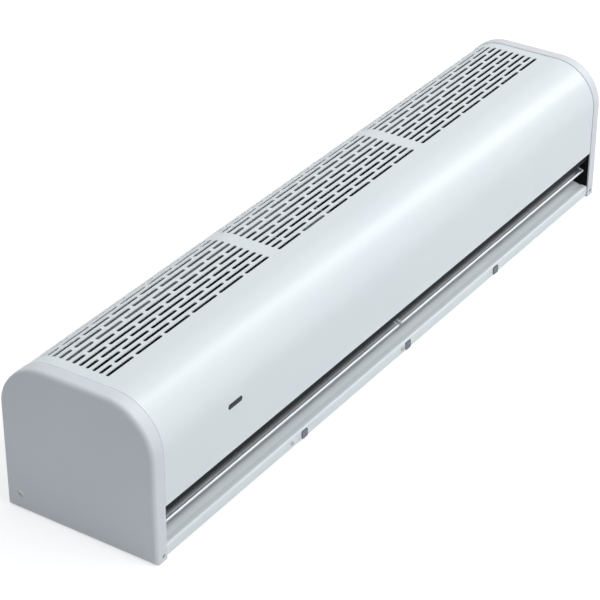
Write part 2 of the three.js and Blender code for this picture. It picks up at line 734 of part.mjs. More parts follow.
// A base on the scroll's flange with two arms that end in half rings under the motor's rubbers.
function motorCradle() {
  const flangeZ = SCROLL_FLANGE_Z - AXIS_Z + FIT;
  const backY = BACK_PLATE_Y - FIT - AXIS_Y;
  const baseY = scrollRadius(SCROLL_TOP_ANGLE) * Math.cos(radians(SCROLL_TOP_ANGLE)) + 3;
  const middle = (STRAP_BORE + STRAP_OUTER) / 2;
  const arm = new THREE.Shape(
    points(
      [middle * Math.cos(radians(76)), middle * Math.sin(radians(76))],
      [middle * Math.cos(radians(34)), middle * Math.sin(radians(34))],
      [baseY - 8, flangeZ + CRADLE_BASE],
      [baseY, flangeZ],
      [backY, flangeZ],
      [backY, flangeZ + 3 * CRADLE_BASE],
      [baseY - 8, flangeZ + 4 * CRADLE_BASE],
    ),
  );
  const parts = [];
  for (const side of Object.values(SIDES)) {
    const start = side * RING_X - STRAP_WIDTH / 2;
    const armStart = side * RING_X - CRADLE_WIDTH / 2;
    parts.push(prismX(halfRing(-Math.PI / 2, Math.PI / 2), start, start + STRAP_WIDTH, 8));
    parts.push(prismX(arm, armStart, armStart + CRADLE_WIDTH));
  }
  const end = RING_X + STRAP_WIDTH / 2;
  parts.push(box([-end, baseY, flangeZ], [end, backY, flangeZ + CRADLE_BASE]));
  return named("motor_cradle", join(...parts), "zinc");
}

function motorHolder(side) {
  const ring = ringX(RING_BORE + RING_WALL, RING_BORE, -RING_WIDTH / 2, RING_WIDTH / 2);
  const strap = prismX(halfRing(Math.PI / 2, 1.5 * Math.PI), -STRAP_WIDTH / 2, STRAP_WIDTH / 2, 8);
  const x = SIDES[side] * RING_X;
  return [
    at(named(side + "_motor_rubber", ring, "rubber"), x, 0, 0),
    at(named(side + "_motor_strap", strap, "zinc"), x, -FIT, 0),
  ];
}

// A ball bearing in a rubber seat, which sits in the hole of a side plate.
function bearingSet(side) {
  const start = -BEARING_WIDTH / 4;
  const neckEnd = SHEET + FIT;
  const profile = [
    [SEAT_BORE, start],
    [SEAT_NECK, start],
    [SEAT_NECK, neckEnd],
    [SEAT_NECK + SEAT_FLANGE, neckEnd],
    [SEAT_NECK + SEAT_FLANGE, start + SEAT_WIDTH],
    [SEAT_BORE, start + SEAT_WIDTH],
    [SEAT_BORE, start],
  ];
  const bearing = ringX(BEARING_RADIUS, BORE_RADIUS, start + FIT, start + FIT + BEARING_WIDTH);
  const pair = group(
    named(side + "_bearing", bearing, "steel"),
    named(side + "_bearing_seat", turned(profile, 24), "rubber"),
  );
  pair.position.set(SIDES[side] * SIDE_PLATE_X, 0, 0);
  if (SIDES[side] < 0) pair.rotation.y = Math.PI;
  return pair;
}

// ---- Electrics ----

const BOX_LEFT_X = -DUCT_END_X + BOX_FROM_END;
const BOX_RIGHT_X = BOX_LEFT_X + BOX_LENGTH;
const BOX_FRONT_Y = BACK_PLATE_Y - BOX_FROM_BACK - BOX_DEPTH;
const BOX_LOW_Z = FLOOR_Z + FIT;
const BOX_FLOOR_Z = BOX_LOW_Z + SHEET;
const BOARD_Z = BOX_FLOOR_Z + POST_HEIGHT;
const BOARD_X = BOX_LEFT_X + BOARD_INSET;
const BOARD_Y = BOX_FRONT_Y + (BOX_DEPTH - BOARD_DEPTH) / 2;
const LEAD_HOLE = [70, AXIS_Y + scrollRadius(0) + SHEET + 3 * LEAD_RADIUS];
const LEAD_FLOOR_Z = FLOOR_Z + 3 * FIT + LEAD_RADIUS;
const BOX_ENTRY_Y = BOX_FRONT_Y + BOX_DEPTH - 3 * LEAD_RADIUS;
const BOX_ENTRY_Z = LEAD_FLOOR_Z + 2 * LEAD_RADIUS;

// Open tray on the underside plate with four posts for the circuit board.
function controlBox() {
  const low = [BOX_LEFT_X, BOX_FRONT_Y, BOX_LOW_Z];
  const high = [BOX_RIGHT_X, BOX_FRONT_Y + BOX_DEPTH, BOX_LOW_Z + BOX_HEIGHT];
  const hollow = box(
    [low[0] + SHEET, low[1] + SHEET, BOX_FLOOR_Z],
    [high[0] - SHEET, high[1] - SHEET, high[2] + 1],
  );
  const posts = [];
  for (const x of [BOARD_X + POST_INSET, BOARD_X + BOARD_LENGTH - POST_INSET]) {
    for (const y of [BOARD_Y + POST_INSET, BOARD_Y + BOARD_DEPTH - POST_INSET]) {
      const post = new THREE.CylinderGeometry(POST_RADIUS, POST_RADIUS, POST_HEIGHT, 12);
      posts.push(post.rotateX(Math.PI / 2).translate(x, y, BOX_FLOOR_Z + POST_HEIGHT / 2 - FIT));
    }
  }
  const entry = rodX(LEAD_RADIUS + FIT, BOX_RIGHT_X - 2 * SHEET, BOX_RIGHT_X + SHEET, 16);
  const walls = cut(box(low, high), hollow, entry.translate(0, BOX_ENTRY_Y, BOX_ENTRY_Z));
  return named("control_box", join(walls, ...posts), "zinc");
}

function boxCover() {
  const low = BOX_LOW_Z + BOX_HEIGHT + FIT;
  const plate = box([BOX_LEFT_X, BOX_FRONT_Y, low], [BOX_RIGHT_X, BOX_FRONT_Y + BOX_DEPTH, low + SHEET]);
  const rim = box(
    [BOX_LEFT_X + SHEET + FIT, BOX_FRONT_Y + SHEET + FIT, low - 2 * SHEET],
    [BOX_RIGHT_X - SHEET - FIT, BOX_FRONT_Y + BOX_DEPTH - SHEET - FIT, low + SHEET / 2],
  );
  const inside = box(
    [BOX_LEFT_X + 3 * SHEET, BOX_FRONT_Y + 3 * SHEET, low - 3 * SHEET],
    [BOX_RIGHT_X - 3 * SHEET, BOX_FRONT_Y + BOX_DEPTH - 3 * SHEET, low],
  );
  return named("control_box_cover", cut(join(plate, rim), inside), "zinc");
}

function circuitBoard() {
  const plate = box(
    [BOARD_X, BOARD_Y, BOARD_Z],
    [BOARD_X + BOARD_LENGTH, BOARD_Y + BOARD_DEPTH, BOARD_Z + BOARD_THICKNESS],
  );
  const relay = onBoard(RELAY_PLACE, RELAY_SIZE);
  const transformer = onBoard(TRANSFORMER_PLACE, TRANSFORMER_SIZE);
  return named("circuit_board", join(plate, relay, transformer), "board");
}

// A block that stands on the circuit board.
function onBoard([alongX, alongY], [length, depth, height]) {
  const top = BOARD_Z + BOARD_THICKNESS;
  const low = [BOARD_X + alongX, BOARD_Y + alongY, top - SINK];
  return box(low, [low[0] + length, low[1] + depth, top + height]);
}

// A block on the floor of the control box, to the right of the board.
function floorBlock(name, size, front, finish) {
  const left = BOARD_X + BOARD_LENGTH + BLOCK_GAP;
  const block = box([0, 0, 0], size);
  return at(named(name, block, finish), left, front, BOX_FLOOR_Z + FIT);
}

// Rubber grommet in the back plate for the supply cable.
function cableGrommet() {
  const start = BACK_PLATE_Y - FIT - GROMMET_FLANGE;
  const flange = rodY(GROMMET_NECK + GROMMET_FLANGE, start, BACK_PLATE_Y - FIT, 20);
  const neck = rodY(GROMMET_NECK, start, BACK_PLATE_Y + SHEET + FIT, 20);
  const bore = rodY(GROMMET_BORE, -DEPTH, DEPTH, 20);
  return at(named("cable_grommet", cut(join(flange, neck), bore), "rubber"), GROMMET_X, 0, GROMMET_Z);
}

// The motor's lead: over the end of the scroll, down behind it, and along the underside plate
// to the control box.
function motorLead() {
  const [holeX, holeY] = LEAD_HOLE;
  const behindFan = AXIS_Z + FAN_RADIUS;
  const route = new THREE.CatmullRomCurve3([
    new THREE.Vector3(18, AXIS_Y + 0.6 * MOTOR_RADIUS + 3, AXIS_Z + 0.8 * MOTOR_RADIUS + 4),
    new THREE.Vector3(26, AXIS_Y + 0.6 * MOTOR_RADIUS + 9, AXIS_Z + 0.8 * MOTOR_RADIUS + 12),
    new THREE.Vector3(holeX - 20, holeY - 12, behindFan - 4),
    new THREE.Vector3(holeX - 5, holeY - 2, behindFan - 10),
    new THREE.Vector3(holeX, holeY, SCROLL_FLANGE_Z + 6),
    new THREE.Vector3(holeX, holeY, SCROLL_FLANGE_Z - 8),
    new THREE.Vector3(holeX - 4, holeY, SCROLL_FLANGE_Z / 2),
    new THREE.Vector3(holeX - 16, holeY, 2 * LEAD_FLOOR_Z + 6),
    new THREE.Vector3(holeX - 44, holeY, LEAD_FLOOR_Z + 1),
    new THREE.Vector3(0, holeY - 2, LEAD_FLOOR_Z),
    new THREE.Vector3(BOX_RIGHT_X / 2, holeY - 3, LEAD_FLOOR_Z),
    new THREE.Vector3(BOX_RIGHT_X + 40, BOX_ENTRY_Y + 1, LEAD_FLOOR_Z),
    new THREE.Vector3(BOX_RIGHT_X + 14, BOX_ENTRY_Y, BOX_ENTRY_Z - 1),
    new THREE.Vector3(BOX_RIGHT_X - 6, BOX_ENTRY_Y, BOX_ENTRY_Z),
  ]);
  const section = new THREE.Shape().absarc(0, 0, LEAD_RADIUS, 0, 2 * Math.PI);
  const tube = new THREE.ExtrudeGeometry(section, { steps: 48, extrudePath: route, curveSegments: 4 });
  return named("motor_lead", tube, "rubber");
}

// ---- Receiver ----

// An outline in the XZ plane carried along Y from start to end.
function prismY(outline, start, end, curveSegments = 4) {
  const geometry = new THREE.ExtrudeGeometry(outline, {
    depth: end - start,
    bevelEnabled: false,
    curveSegments,
  });
  return geometry.rotateX(Math.PI / 2).translate(0, end, 0);
}

// The receiver window's outline with round ends, grown by a margin, carried along Y.
function windowPrism(grow, start, end) {
  const radius = WINDOW_HEIGHT / 2 + grow;
  const half = WINDOW_LENGTH / 2 - WINDOW_HEIGHT / 2;
  const outline = new THREE.Shape();
  outline.moveTo(half, -radius);
  outline.absarc(half, 0, radius, -Math.PI / 2, Math.PI / 2, false);
  outline.absarc(-half, 0, radius, Math.PI / 2, 1.5 * Math.PI, false);
  outline.lineTo(half, -radius);
  return prismY(outline, start, end).translate(WINDOW_X, 0, WINDOW_Z);
}

function receiverWindow() {
  const back = SKIN_FRONT_Y + SHEET + FIT;
  const lens = windowPrism(0, SKIN_FRONT_Y - FIT, back + WINDOW_FLANGE / 2);
  const flange = windowPrism(WINDOW_FLANGE, back, back + WINDOW_FLANGE);
  return named("receiver_window", join(lens, flange), "blackPlastic");
}

function receiverBoard() {
  const front = SKIN_FRONT_Y + SHEET + FIT + WINDOW_FLANGE + FIT;
  const half = [WINDOW_LENGTH / 2 + 4, WINDOW_HEIGHT + 3];
  const body = box(
    [WINDOW_X - half[0], front, WINDOW_Z - half[1]],
    [WINDOW_X + half[0], front + RECEIVER_THICKNESS, WINDOW_Z + half[1]],
  );
  return named("receiver_board", body, "board");
}

// ---- Clips and screws ----

// A small plate on the lip with a stud through a hole behind it.
function lipClip(side) {
  const back = -FIT;
  const plate = box(
    [-CLIP_WIDTH / 2, back - CLIP_THICKNESS, -CLIP_HEIGHT / 2],
    [CLIP_WIDTH / 2, back, CLIP_HEIGHT / 2],
  );
  const stud = rodY(SMALL_SHANK, back - CLIP_THICKNESS / 2, 2 * SHEET, 12);
  return onLip(named(side + "_lip_clip", join(plate, stud), "zinc"), CLIP_XS[side]);
}

// A pan-head screw along Y whose head's seat is at y = 0 and whose tip points to +Y.
function screwGeometry(head, shank, length) {
  const profile = [
    [0, -HEAD_HEIGHT],
    [0.7 * head, -HEAD_HEIGHT],
    [head, -HEAD_HEIGHT / 3],
    [head, 0],
    [shank, 0],
    [shank, length - shank],
    [0, length],
  ];
  return new THREE.LatheGeometry(
    profile.map(([radius, along]) => new THREE.Vector2(radius, along)),
    12,
  );
}

function onLip(mesh, x) {
  return at(mesh, x, SKIN_FRONT_Y, (SKIN_INSET + LIP_HEIGHT) / 2);
}

function lipScrew(side) {
  const screw = screwGeometry(SMALL_HEAD, SMALL_SHANK, 4 * SHEET).translate(0, -FIT, 0);
  return onLip(named(side + "_lip_screw", screw, "screw"), LIP_SCREW_XS[side]);
}

function capScrew(side) {
  const seat = LENGTH / 2 - HEAD_HEIGHT - FIT;
  const length = seat - SIDE_PLATE_X - SHEET - FIT;
  const screw = screwGeometry(CAP_HEAD, CAP_SHANK, length);
  const mesh = named(side + "_cap_screw", screw, "screw");
  mesh.rotation.z = (SIDES[side] * Math.PI) / 2;
  return at(mesh, SIDES[side] * seat, DEPTH / 2 - CAP_SCREW_BACK, CAP_SCREW_Z);
}

// Holds the front of a cap to the tray behind it.
function cornerScrew(side) {
  const seat = -DEPTH / 2 + HEAD_HEIGHT;
  const length = -DEPTH / 2 + LINING_INSET - FIT - seat;
  const screw = named(side + "_corner_screw", screwGeometry(SMALL_HEAD, SMALL_SHANK, length), "screw");
  return at(screw, SIDES[side] * (RIM_X + CORNER_SCREW_REACH), seat, CORNER_SCREW_Z);
}

// ---- Assembly ----

function casing() {
  return group(
    casingShell(),
    bottomPlate(),
    backPlate(),
    wallBracket(),
    ...Object.keys(SIDES).flatMap((side) => [endCap(side), sidePlate(side)]),
  );
}

function airPath() {
  return group(scrollPlate(), tonguePlate(), outletRail());
}

function outlet() {
  return group(
    vane("left"),
    vane("right"),
    vaneBracket("centre_vane_bracket", -VANE_BRACKET / 2),
    vaneBracket("left_vane_bracket", -VANE_BRACKET_X - VANE_BRACKET),
    vaneBracket("right_vane_bracket", VANE_BRACKET_X),
  );
}

function drive() {
  const fixed = group(
    motorBody(),
    motorCradle(),
    ...Object.keys(SIDES).flatMap((side) => [...motorHolder(side), bearingSet(side)]),
  );
  return group(rotor(), at(fixed, 0, AXIS_Y, AXIS_Z));
}

function electrics() {
  return group(
    controlBox(),
    boxCover(),
    circuitBoard(),
    floorBlock("run_capacitor", CAPACITOR_SIZE, BOARD_Y, "cream"),
    floorBlock("terminal_block", TERMINAL_SIZE, BOARD_Y + BOARD_DEPTH - TERMINAL_SIZE[1], "cream"),
    cableGrommet(),
    motorLead(),
    receiverWindow(),
    receiverBoard(),
  );
}

function fasteners() {
  return group(
    ...Object.keys(CLIP_XS).map(lipClip),
    ...Object.keys(LIP_SCREW_XS).map(lipScrew),
    ...Object.keys(SIDES).flatMap((side) => [capScrew(side), cornerScrew(side)]),
  );
}

export default group(casing(), airPath(), outlet(), drive(), electrics(), fasteners());
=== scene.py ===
"""A wall-mounted air curtain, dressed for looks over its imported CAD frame.

Sizes are millimetres and become metres where a mesh is made. X runs along the length, the front
faces -Y, the wall side faces +Y, and Z is up.
"""

import logging
import math
from dataclasses import dataclass, field
from enum import Enum
from typing import Any, Iterable, Sequence

import bmesh
import bpy
import numpy as np
from mathutils import Matrix, Vector


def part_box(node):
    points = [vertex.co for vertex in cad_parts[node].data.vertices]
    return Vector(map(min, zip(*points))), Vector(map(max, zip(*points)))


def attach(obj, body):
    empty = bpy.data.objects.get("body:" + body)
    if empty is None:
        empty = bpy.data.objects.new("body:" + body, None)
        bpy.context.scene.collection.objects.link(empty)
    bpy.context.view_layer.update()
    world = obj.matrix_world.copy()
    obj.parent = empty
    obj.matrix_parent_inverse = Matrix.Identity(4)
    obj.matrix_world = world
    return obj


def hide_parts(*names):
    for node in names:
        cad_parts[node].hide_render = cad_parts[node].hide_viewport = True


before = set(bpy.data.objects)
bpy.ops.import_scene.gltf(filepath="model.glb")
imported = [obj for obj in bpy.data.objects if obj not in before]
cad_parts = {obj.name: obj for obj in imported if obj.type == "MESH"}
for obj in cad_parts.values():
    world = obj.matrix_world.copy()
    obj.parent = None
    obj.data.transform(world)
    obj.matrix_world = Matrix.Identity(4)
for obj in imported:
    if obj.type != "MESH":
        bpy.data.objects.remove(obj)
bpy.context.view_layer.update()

MM = 0.001
WELD_MM = 0.001
HARD_EDGE = 38.0  # degrees of turn past which an edge stays hard
FOLD_STEP = 15.0  # degrees between two points of a small fold
CAP_STEP = 5.0  # degrees between two points of a cap's big bends
SIDES: dict[str, int] = {"left": -1, "right": 1}
Array = np.ndarray

log = logging.getLogger("air_curtain")


# ---- Surfaces ----


@dataclass
class Surface:
    """Faces over points in millimetres.

    Attributes:
        points: One row of x, y, z for each vertex.
        quads: One row of four vertex numbers for each four-sided face.
        plates: Flat faces with any number of corners.
    """

    points: Array
    quads: Array
    plates: list[Array] = field(default_factory=list)

    def shifted(self, x: float = 0.0, y: float = 0.0, z: float = 0.0) -> "Surface":
        """Returns the surface moved by x, y and z."""
        return Surface(self.points + np.array([x, y, z]), self.quads, self.plates)

    def mirrored(self) -> "Surface":
        """Returns the surface reflected in x, with each face turned to face outwards again."""
        flipped = self.points * np.array([-1.0, 1.0, 1.0])
        return Surface(flipped, self.quads[:, ::-1], [plate[::-1] for plate in self.plates])

    def turned_about_x(self, angle: float, y: float = 0.0, z: float = 0.0) -> "Surface":
        """Turns the surface about a line along X: each (y, z) goes round the line by the angle.

        Args:
            angle: Radians, from Y towards Z.
            y: Where the line is.
            z: Where the line is.

        Returns:
            The turned surface.
        """
        across = self.points[:, 1] - y
        up = self.points[:, 2] - z
        turned = np.column_stack([
            self.points[:, 0],
            y + across * math.cos(angle) - up * math.sin(angle),
            z + across * math.sin(angle) + up * math.cos(angle),
        ])
        return Surface(turned, self.quads, self.plates)

    def turned_about_z(self, angle: float) -> "Surface":
        """Returns the surface turned about the Z axis by an angle in radians, from X towards Y."""
        x, y, z = self.points.T
        turned = np.column_stack([
            x * math.cos(angle) - y * math.sin(angle),
            x * math.sin(angle) + y * math.cos(angle),
            z,
        ])
        return Surface(turned, self.quads, self.plates)


def joined(parts: Iterable[Surface]) -> Surface:
    """Puts several surfaces into one, with each one's vertex numbers moved past the last one's.

    Args:
        parts: The surfaces.

    Returns:
        One surface with all their faces.
    """
    parts = list(parts)
    starts = np.cumsum([0] + [len(part.points) for part in parts])
    points = np.vstack([part.points for part in parts])
    quads = np.vstack([part.quads + start for part, start in zip(parts, starts)])
    plates = [plate + start for part, start in zip(parts, starts) for plate in part.plates]
    return Surface(points, quads, plates)


def grid_quads(rows: int, columns: int, wrap_rows: bool = False, wrap_columns: bool = False) -> Array:
    """Faces of a grid of points: each joins a point to the next ones in its row and its column.

    Args:
        rows: Number of rows of points.
        columns: Number of points in each row.
        wrap_rows: Whether the last row joins the first.
        wrap_columns: Whether the last point of a row joins its first.

    Returns:
        One row of four vertex numbers for each face.
    """
    row, column = np.meshgrid(
        np.arange(rows if wrap_rows else rows - 1),
        np.arange(columns if wrap_columns else columns - 1),
        indexing="ij",
    )
    below = (row + 1) % rows
    beside = (column + 1) % columns
    here, under = row * columns, below * columns
    return np.stack([here + column, here + beside, under + beside, under + column], axis=-1).reshape(-1, 4)


class Profile:
    """A path in the end view, measured by the length s along it.

    Attributes:
        points: One row of y, z for each corner.
        lengths: The value of s at each corner.
        normals: The unit vector to the left of travel at each corner.
    """

    def __init__(self, points: Array) -> None:
        """Measures the path: s adds up the steps, and a corner's normal is the mean of its sides'."""
        steps = np.diff(points, axis=0)
        spans = np.hypot(steps[:, 0], steps[:, 1])
        left = np.column_stack([-steps[:, 1], steps[:, 0]]) / spans[:, None]
        mean = np.vstack([left[:1], left[:-1] + left[1:], left[-1:]])
        self.points = points
        self.lengths = np.concatenate([[0.0], np.cumsum(spans)])
        self.normals = mean / np.linalg.norm(mean, axis=1)[:, None]

    @classmethod
    def bent(cls, corners: Sequence[Sequence[float]], radii: Sequence[float], step: float = 4.5) -> "Profile":
        """Straight runs with round bends: a bend of radius r starts r tan(half the turn) before its corner.

        Args:
            corners: The y, z of the ends and of each sharp corner.
            radii: The bend radius at each corner between the ends.
            step: Degrees of turn between two points of a bend.

        Returns:
            The path.
        """
        corner_points = np.asarray(corners, dtype=float)
        pieces = [corner_points[:1]]
        for before, corner, after, radius in zip(corner_points, corner_points[1:], corner_points[2:], radii):
            arrive = (corner - before) / np.linalg.norm(corner - before)
            leave = (after - corner) / np.linalg.norm(after - corner)
            turn = math.atan2(arrive[0] * leave[1] - arrive[1] * leave[0], float(arrive @ leave))
            start = corner - arrive * radius * math.tan(abs(turn) / 2)
            arm = radius * math.copysign(1.0, turn) * np.array([arrive[1], -arrive[0]])
            angles = np.linspace(0.0, turn, max(2, math.ceil(math.degrees(abs(turn)) / step) + 1))
            arc = np.column_stack([
                arm[0] * np.cos(angles) - arm[1] * np.sin(angles),
                arm[0] * np.sin(angles) + arm[1] * np.cos(angles),
            ])
            pieces.append(start - arm + arc)
        pieces.append(corner_points[-1:])
        return cls(np.vstack(pieces))

    @property
    def length(self) -> float:
        """The whole length of the path."""
        return float(self.lengths[-1])

    def at(self, s: Array) -> tuple[Array, Array]:
        """Gives the places and left-hand normals at lengths s along the path."""
        places = np.column_stack([np.interp(s, self.lengths, self.points[:, axis]) for axis in (0, 1)])
        normals = np.column_stack([np.interp(s, self.lengths, self.normals[:, axis]) for axis in (0, 1)])
        return places, normals / np.linalg.norm(normals, axis=1)[:, None]


@dataclass(frozen=True)
class Hole:
    """A hole with round ends, cut along x in a sheet.

    Attributes:
        start: Lowest x of the hole.
        end: Highest x of the hole.
        middle: Its place s along the sheet's profile.
        width: Its width along the profile, which is also the diameter of its ends.
        margin_x: How far the mesh round it reaches past its ends.
        margin_s: How far the mesh round it reaches past its sides.
    """

    start: float
    end: float
    middle: float
    width: float
    margin_x: float
    margin_s: float

    @property
    def reach(self) -> float:
        """Half the height of the patch of mesh that holds the hole."""
        return self.width / 2 + self.margin_s

    def x_lines(self) -> Array:
        """The grid lines that the hole needs along x, first and last the edges of its patch."""
        radius = self.width / 2
        ease = 0.4 * self.reach
        left = [self.start - self.margin_x, self.start + radius - ease, self.start + radius]
        right = [self.end - radius, self.end - radius + ease, self.end + self.margin_x]
        return np.round(left + right, 3)

    def s_lines(self) -> Array:
        """The grid lines that the hole needs along the profile, first and last the edges of its patch."""
        return np.round(self.middle + self.reach * np.array([-1.0, -0.45, 0.0, 0.45, 1.0]), 3)

    def rim(self, outer: Array) -> Array:
        """The rim point for each point round the patch: the nearest core point plus the radius towards it.

        Args:
            outer: One row of x, s for each point on the edge of the patch.

        Returns:
            One row of x, s for each point on the rim.
        """
        radius = self.width / 2
        along = np.clip(outer[:, 0], self.start + radius, self.end - radius)
        core = np.column_stack([along, np.full(len(along), self.middle)])
        towards = outer - core
        return core + radius * towards / np.linalg.norm(towards, axis=1)[:, None]


def thickened(points: Array, normals: Array, quads: Array, depth: float) -> Surface:
    """A closed sheet: each point p gets a partner p - depth n, and each free edge gets a wall.

    Args:
        points: Vertices of the open face.
        normals: Unit normal at each vertex.
        quads: Faces of the open face.
        depth: Thickness of the sheet.

    Returns:
        The closed surface.
    """
    count = len(points)
    edges = np.vstack([quads[:, [side, (side + 1) % 4]] for side in range(4)])
    keys = np.sort(edges, axis=1) @ np.array([count, 1])
    _, place, uses = np.unique(keys, return_inverse=True, return_counts=True)
    free = edges[uses[place] == 1]
    walls = np.column_stack([free[:, 1], free[:, 0], free[:, 0] + count, free[:, 1] + count])
    both = np.vstack([points, points - depth * normals])
    return Surface(both, np.vstack([quads, quads[:, ::-1] + count, walls]))


def pressed_sheet(
    profile: Profile,
    depth: float,
    x_lines: Sequence[float],
    s_lines: Array,
    holes: Sequence[Hole] = (),
    cutouts: Sequence[tuple[float, float, float, float]] = (),
    joggle: tuple[float, float] = (0.0, 0.0),
) -> Surface:
    """A bent sheet with holes. A point (x, s) of the flat blank goes to (x, y(s), z(s)) of the profile.

    The blank is a grid. Round each hole a patch of it is taken out, and a ring of faces joins the
    patch's edge to the hole's rim.

    Args:
        profile: The sheet's outer face in the end view, with the outside on its left.
        depth: Thickness, to the right of the profile.
        x_lines: Grid lines along x, first and last the ends of the sheet.
        s_lines: Grid lines along the profile.
        holes: Holes in the sheet.
        cutouts: Rectangles that are missing, each as low x, high x, low s, high s.
        joggle: How far the sheet stands out between its tucked ends, and the x where it starts to:
            a point moves along its normal by the first times (the second - |x|), held to 0 and 1.

    Returns:
        The closed surface.
    """
    xs = np.unique(np.concatenate([np.round(x_lines, 3)] + [hole.x_lines() for hole in holes]))
    ss = np.unique(np.concatenate([np.round(s_lines, 3)] + [hole.s_lines() for hole in holes]))
    flat = np.stack(np.meshgrid(xs, ss, indexing="ij"), axis=-1).reshape(-1, 2)
    keep = np.ones((len(xs) - 1, len(ss) - 1), dtype=bool)
    for low_x, high_x, low_s, high_s in cutouts:
        mid_x, mid_s = (xs[1:] + xs[:-1]) / 2, (ss[1:] + ss[:-1]) / 2
        keep[np.ix_((mid_x > low_x) & (mid_x < high_x), (mid_s > low_s) & (mid_s < high_s))] = False
    rims: list[Array] = []
    rings: list[Array] = []
    total = len(flat)
    for hole in holes:
        first, last = np.searchsorted(xs, hole.x_lines()[[0, -1]])
        low, high = np.searchsorted(ss, hole.s_lines()[[0, -1]])
        keep[first:last, low:high] = False
        along, across = np.arange(first, last), np.arange(low, high)
        loop = np.concatenate([
            along * len(ss) + low,
            last * len(ss) + across,
            (along + 1)[::-1] * len(ss) + high,
            first * len(ss) + (across + 1)[::-1],
        ])
        rim = total + np.arange(len(loop))
        rings.append(np.column_stack([loop, np.roll(loop, -1), np.roll(rim, -1), rim]))
        rims.append(hole.rim(flat[loop]))
        total += len(loop)
    blank = np.vstack([flat] + rims)
    quads = np.vstack([grid_quads(len(xs), len(ss))[keep.ravel()][:, ::-1]] + rings)
    used, numbers = np.unique(quads, return_inverse=True)
    blank = blank[used]
    places, normals = profile.at(blank[:, 1])
    rise, start = joggle
    lift = rise * np.clip(start - np.abs(blank[:, 0]), 0.0, 1.0)
    points = np.column_stack([blank[:, 0], places + lift[:, None] * normals])
    outward = np.column_stack([np.zeros(len(blank)), normals])
    return thickened(points, outward, numbers.reshape(-1, 4), depth)


def swept_x(outline: Array, stations: Sequence[float]) -> Surface:
    """A bar: the closed outline (y, z) repeated at each station along x, with a plate at both ends.

    Args:
        outline: One row of y, z for each corner.
        stations: Values of x.

    Returns:
        The closed surface.
    """
    rows, columns = len(stations), len(outline)
    x = np.repeat(np.asarray(stations, dtype=float), columns)
    points = np.column_stack([x, np.tile(outline, (rows, 1))])
    corners = np.arange(columns)
    return Surface(
        points,
        grid_quads(rows, columns, wrap_columns=True),
        [corners[::-1], (rows - 1) * columns + corners],
    )


def rounded_loop(corners: Sequence[Sequence[float]], radii: Sequence[float], step: float = 15.0) -> Array:
    """A closed outline with round corners: a bent path that starts and ends in the middle of a side.

    Args:
        corners: The y, z of each sharp corner.
        radii: The radius at each corner.
        step: Degrees of turn between two points of a corner.

    Returns:
        One row of y, z for each point.
    """
    sharp = np.asarray(corners, dtype=float)
    middle = (sharp[0] + sharp[-1]) / 2
    path = Profile.bent(np.vstack([middle, sharp, middle]), radii, step).points
    return path[:-1]


def turned(section: Sequence[Sequence[float]], sides: int, ring: bool = False) -> Surface:
    """A turned part: each (x, r) of the section goes to (x, r cos t, r sin t) round the X axis.

    Args:
        section: One row of x, r for each point. Unless it is a ring it starts and ends at r = 0.
        sides: Number of steps of t.
        ring: Whether the section closes on itself.

    Returns:
        The closed surface.
    """
    x, radius = np.asarray(section, dtype=float).T
    angles = np.linspace(0.0, 2 * math.pi, sides, endpoint=False)
    points = np.stack([
        np.tile(x, (sides, 1)),
        np.outer(np.cos(angles), radius),
        np.outer(np.sin(angles), radius),
    ], axis=-1).reshape(-1, 3)
    return Surface(points, grid_quads(sides, len(x), wrap_rows=True, wrap_columns=ring))


def rod(radius: float, start: float, end: float, sides: int) -> Surface:
    """A plain round rod along X from start to end."""
    return turned([(start, 0.0), (start, radius), (end, radius), (end, 0.0)], sides)


def tube_ring(inner: float, outer: float, start: float, end: float, sides: int) -> Surface:
    """A ring round the X axis from start to end, with an inner and an outer radius."""
    return turned([(start, inner), (start, outer), (end, outer), (end, inner)], sides, ring=True)


def polar_copies(part: Surface, count: int) -> Surface:
    """Copies of a part round the X axis: copy k is turned by 2 pi k / count."""
    turn = 2 * math.pi / count
    return joined(part.turned_about_x(turn * number) for number in range(count))


# ---- Meshes ----


def make_object(name: str, surface: Surface) -> bpy.types.Object:
    """Makes a mesh object at the origin, with seams welded, faces outwards and hard edges marked.

    Args:
        name: Name of the object.
        surface: Its shape in millimetres.

    Returns:
        The object, in the scene.
    """
    mesh = bpy.data.meshes.new(name)
    faces = surface.quads.tolist() + [plate.tolist() for plate in surface.plates]
    mesh.from_pydata((surface.points * MM).tolist(), [], faces)
    shape = bmesh.new()
    shape.from_mesh(mesh)
    bmesh.ops.remove_doubles(shape, verts=shape.verts, dist=WELD_MM * MM)
    bmesh.ops.recalc_face_normals(shape, faces=shape.faces)
    shape.to_mesh(mesh)
    shape.free()
    mesh.shade_smooth()
    mesh.set_sharp_from_angle(angle=math.radians(HARD_EDGE))
    made = bpy.data.objects.new(name, mesh)
    bpy.context.scene.collection.objects.link(made)
    return made


def bevelled(piece: bpy.types.Object, width: float) -> bpy.types.Object:
    """Rounds the hard edges of a piece by a width in millimetres.

    Args:
        piece: The piece.
        width: Width of the bevel.

    Returns:
        The same piece.
    """
    bevel = piece.modifiers.new("edges", "BEVEL")
    bevel.width = width * MM
    bevel.segments = 2
    bevel.limit_method = "ANGLE"
    bevel.angle_limit = math.radians(HARD_EDGE)
    bevel.harden_normals = True
    return piece


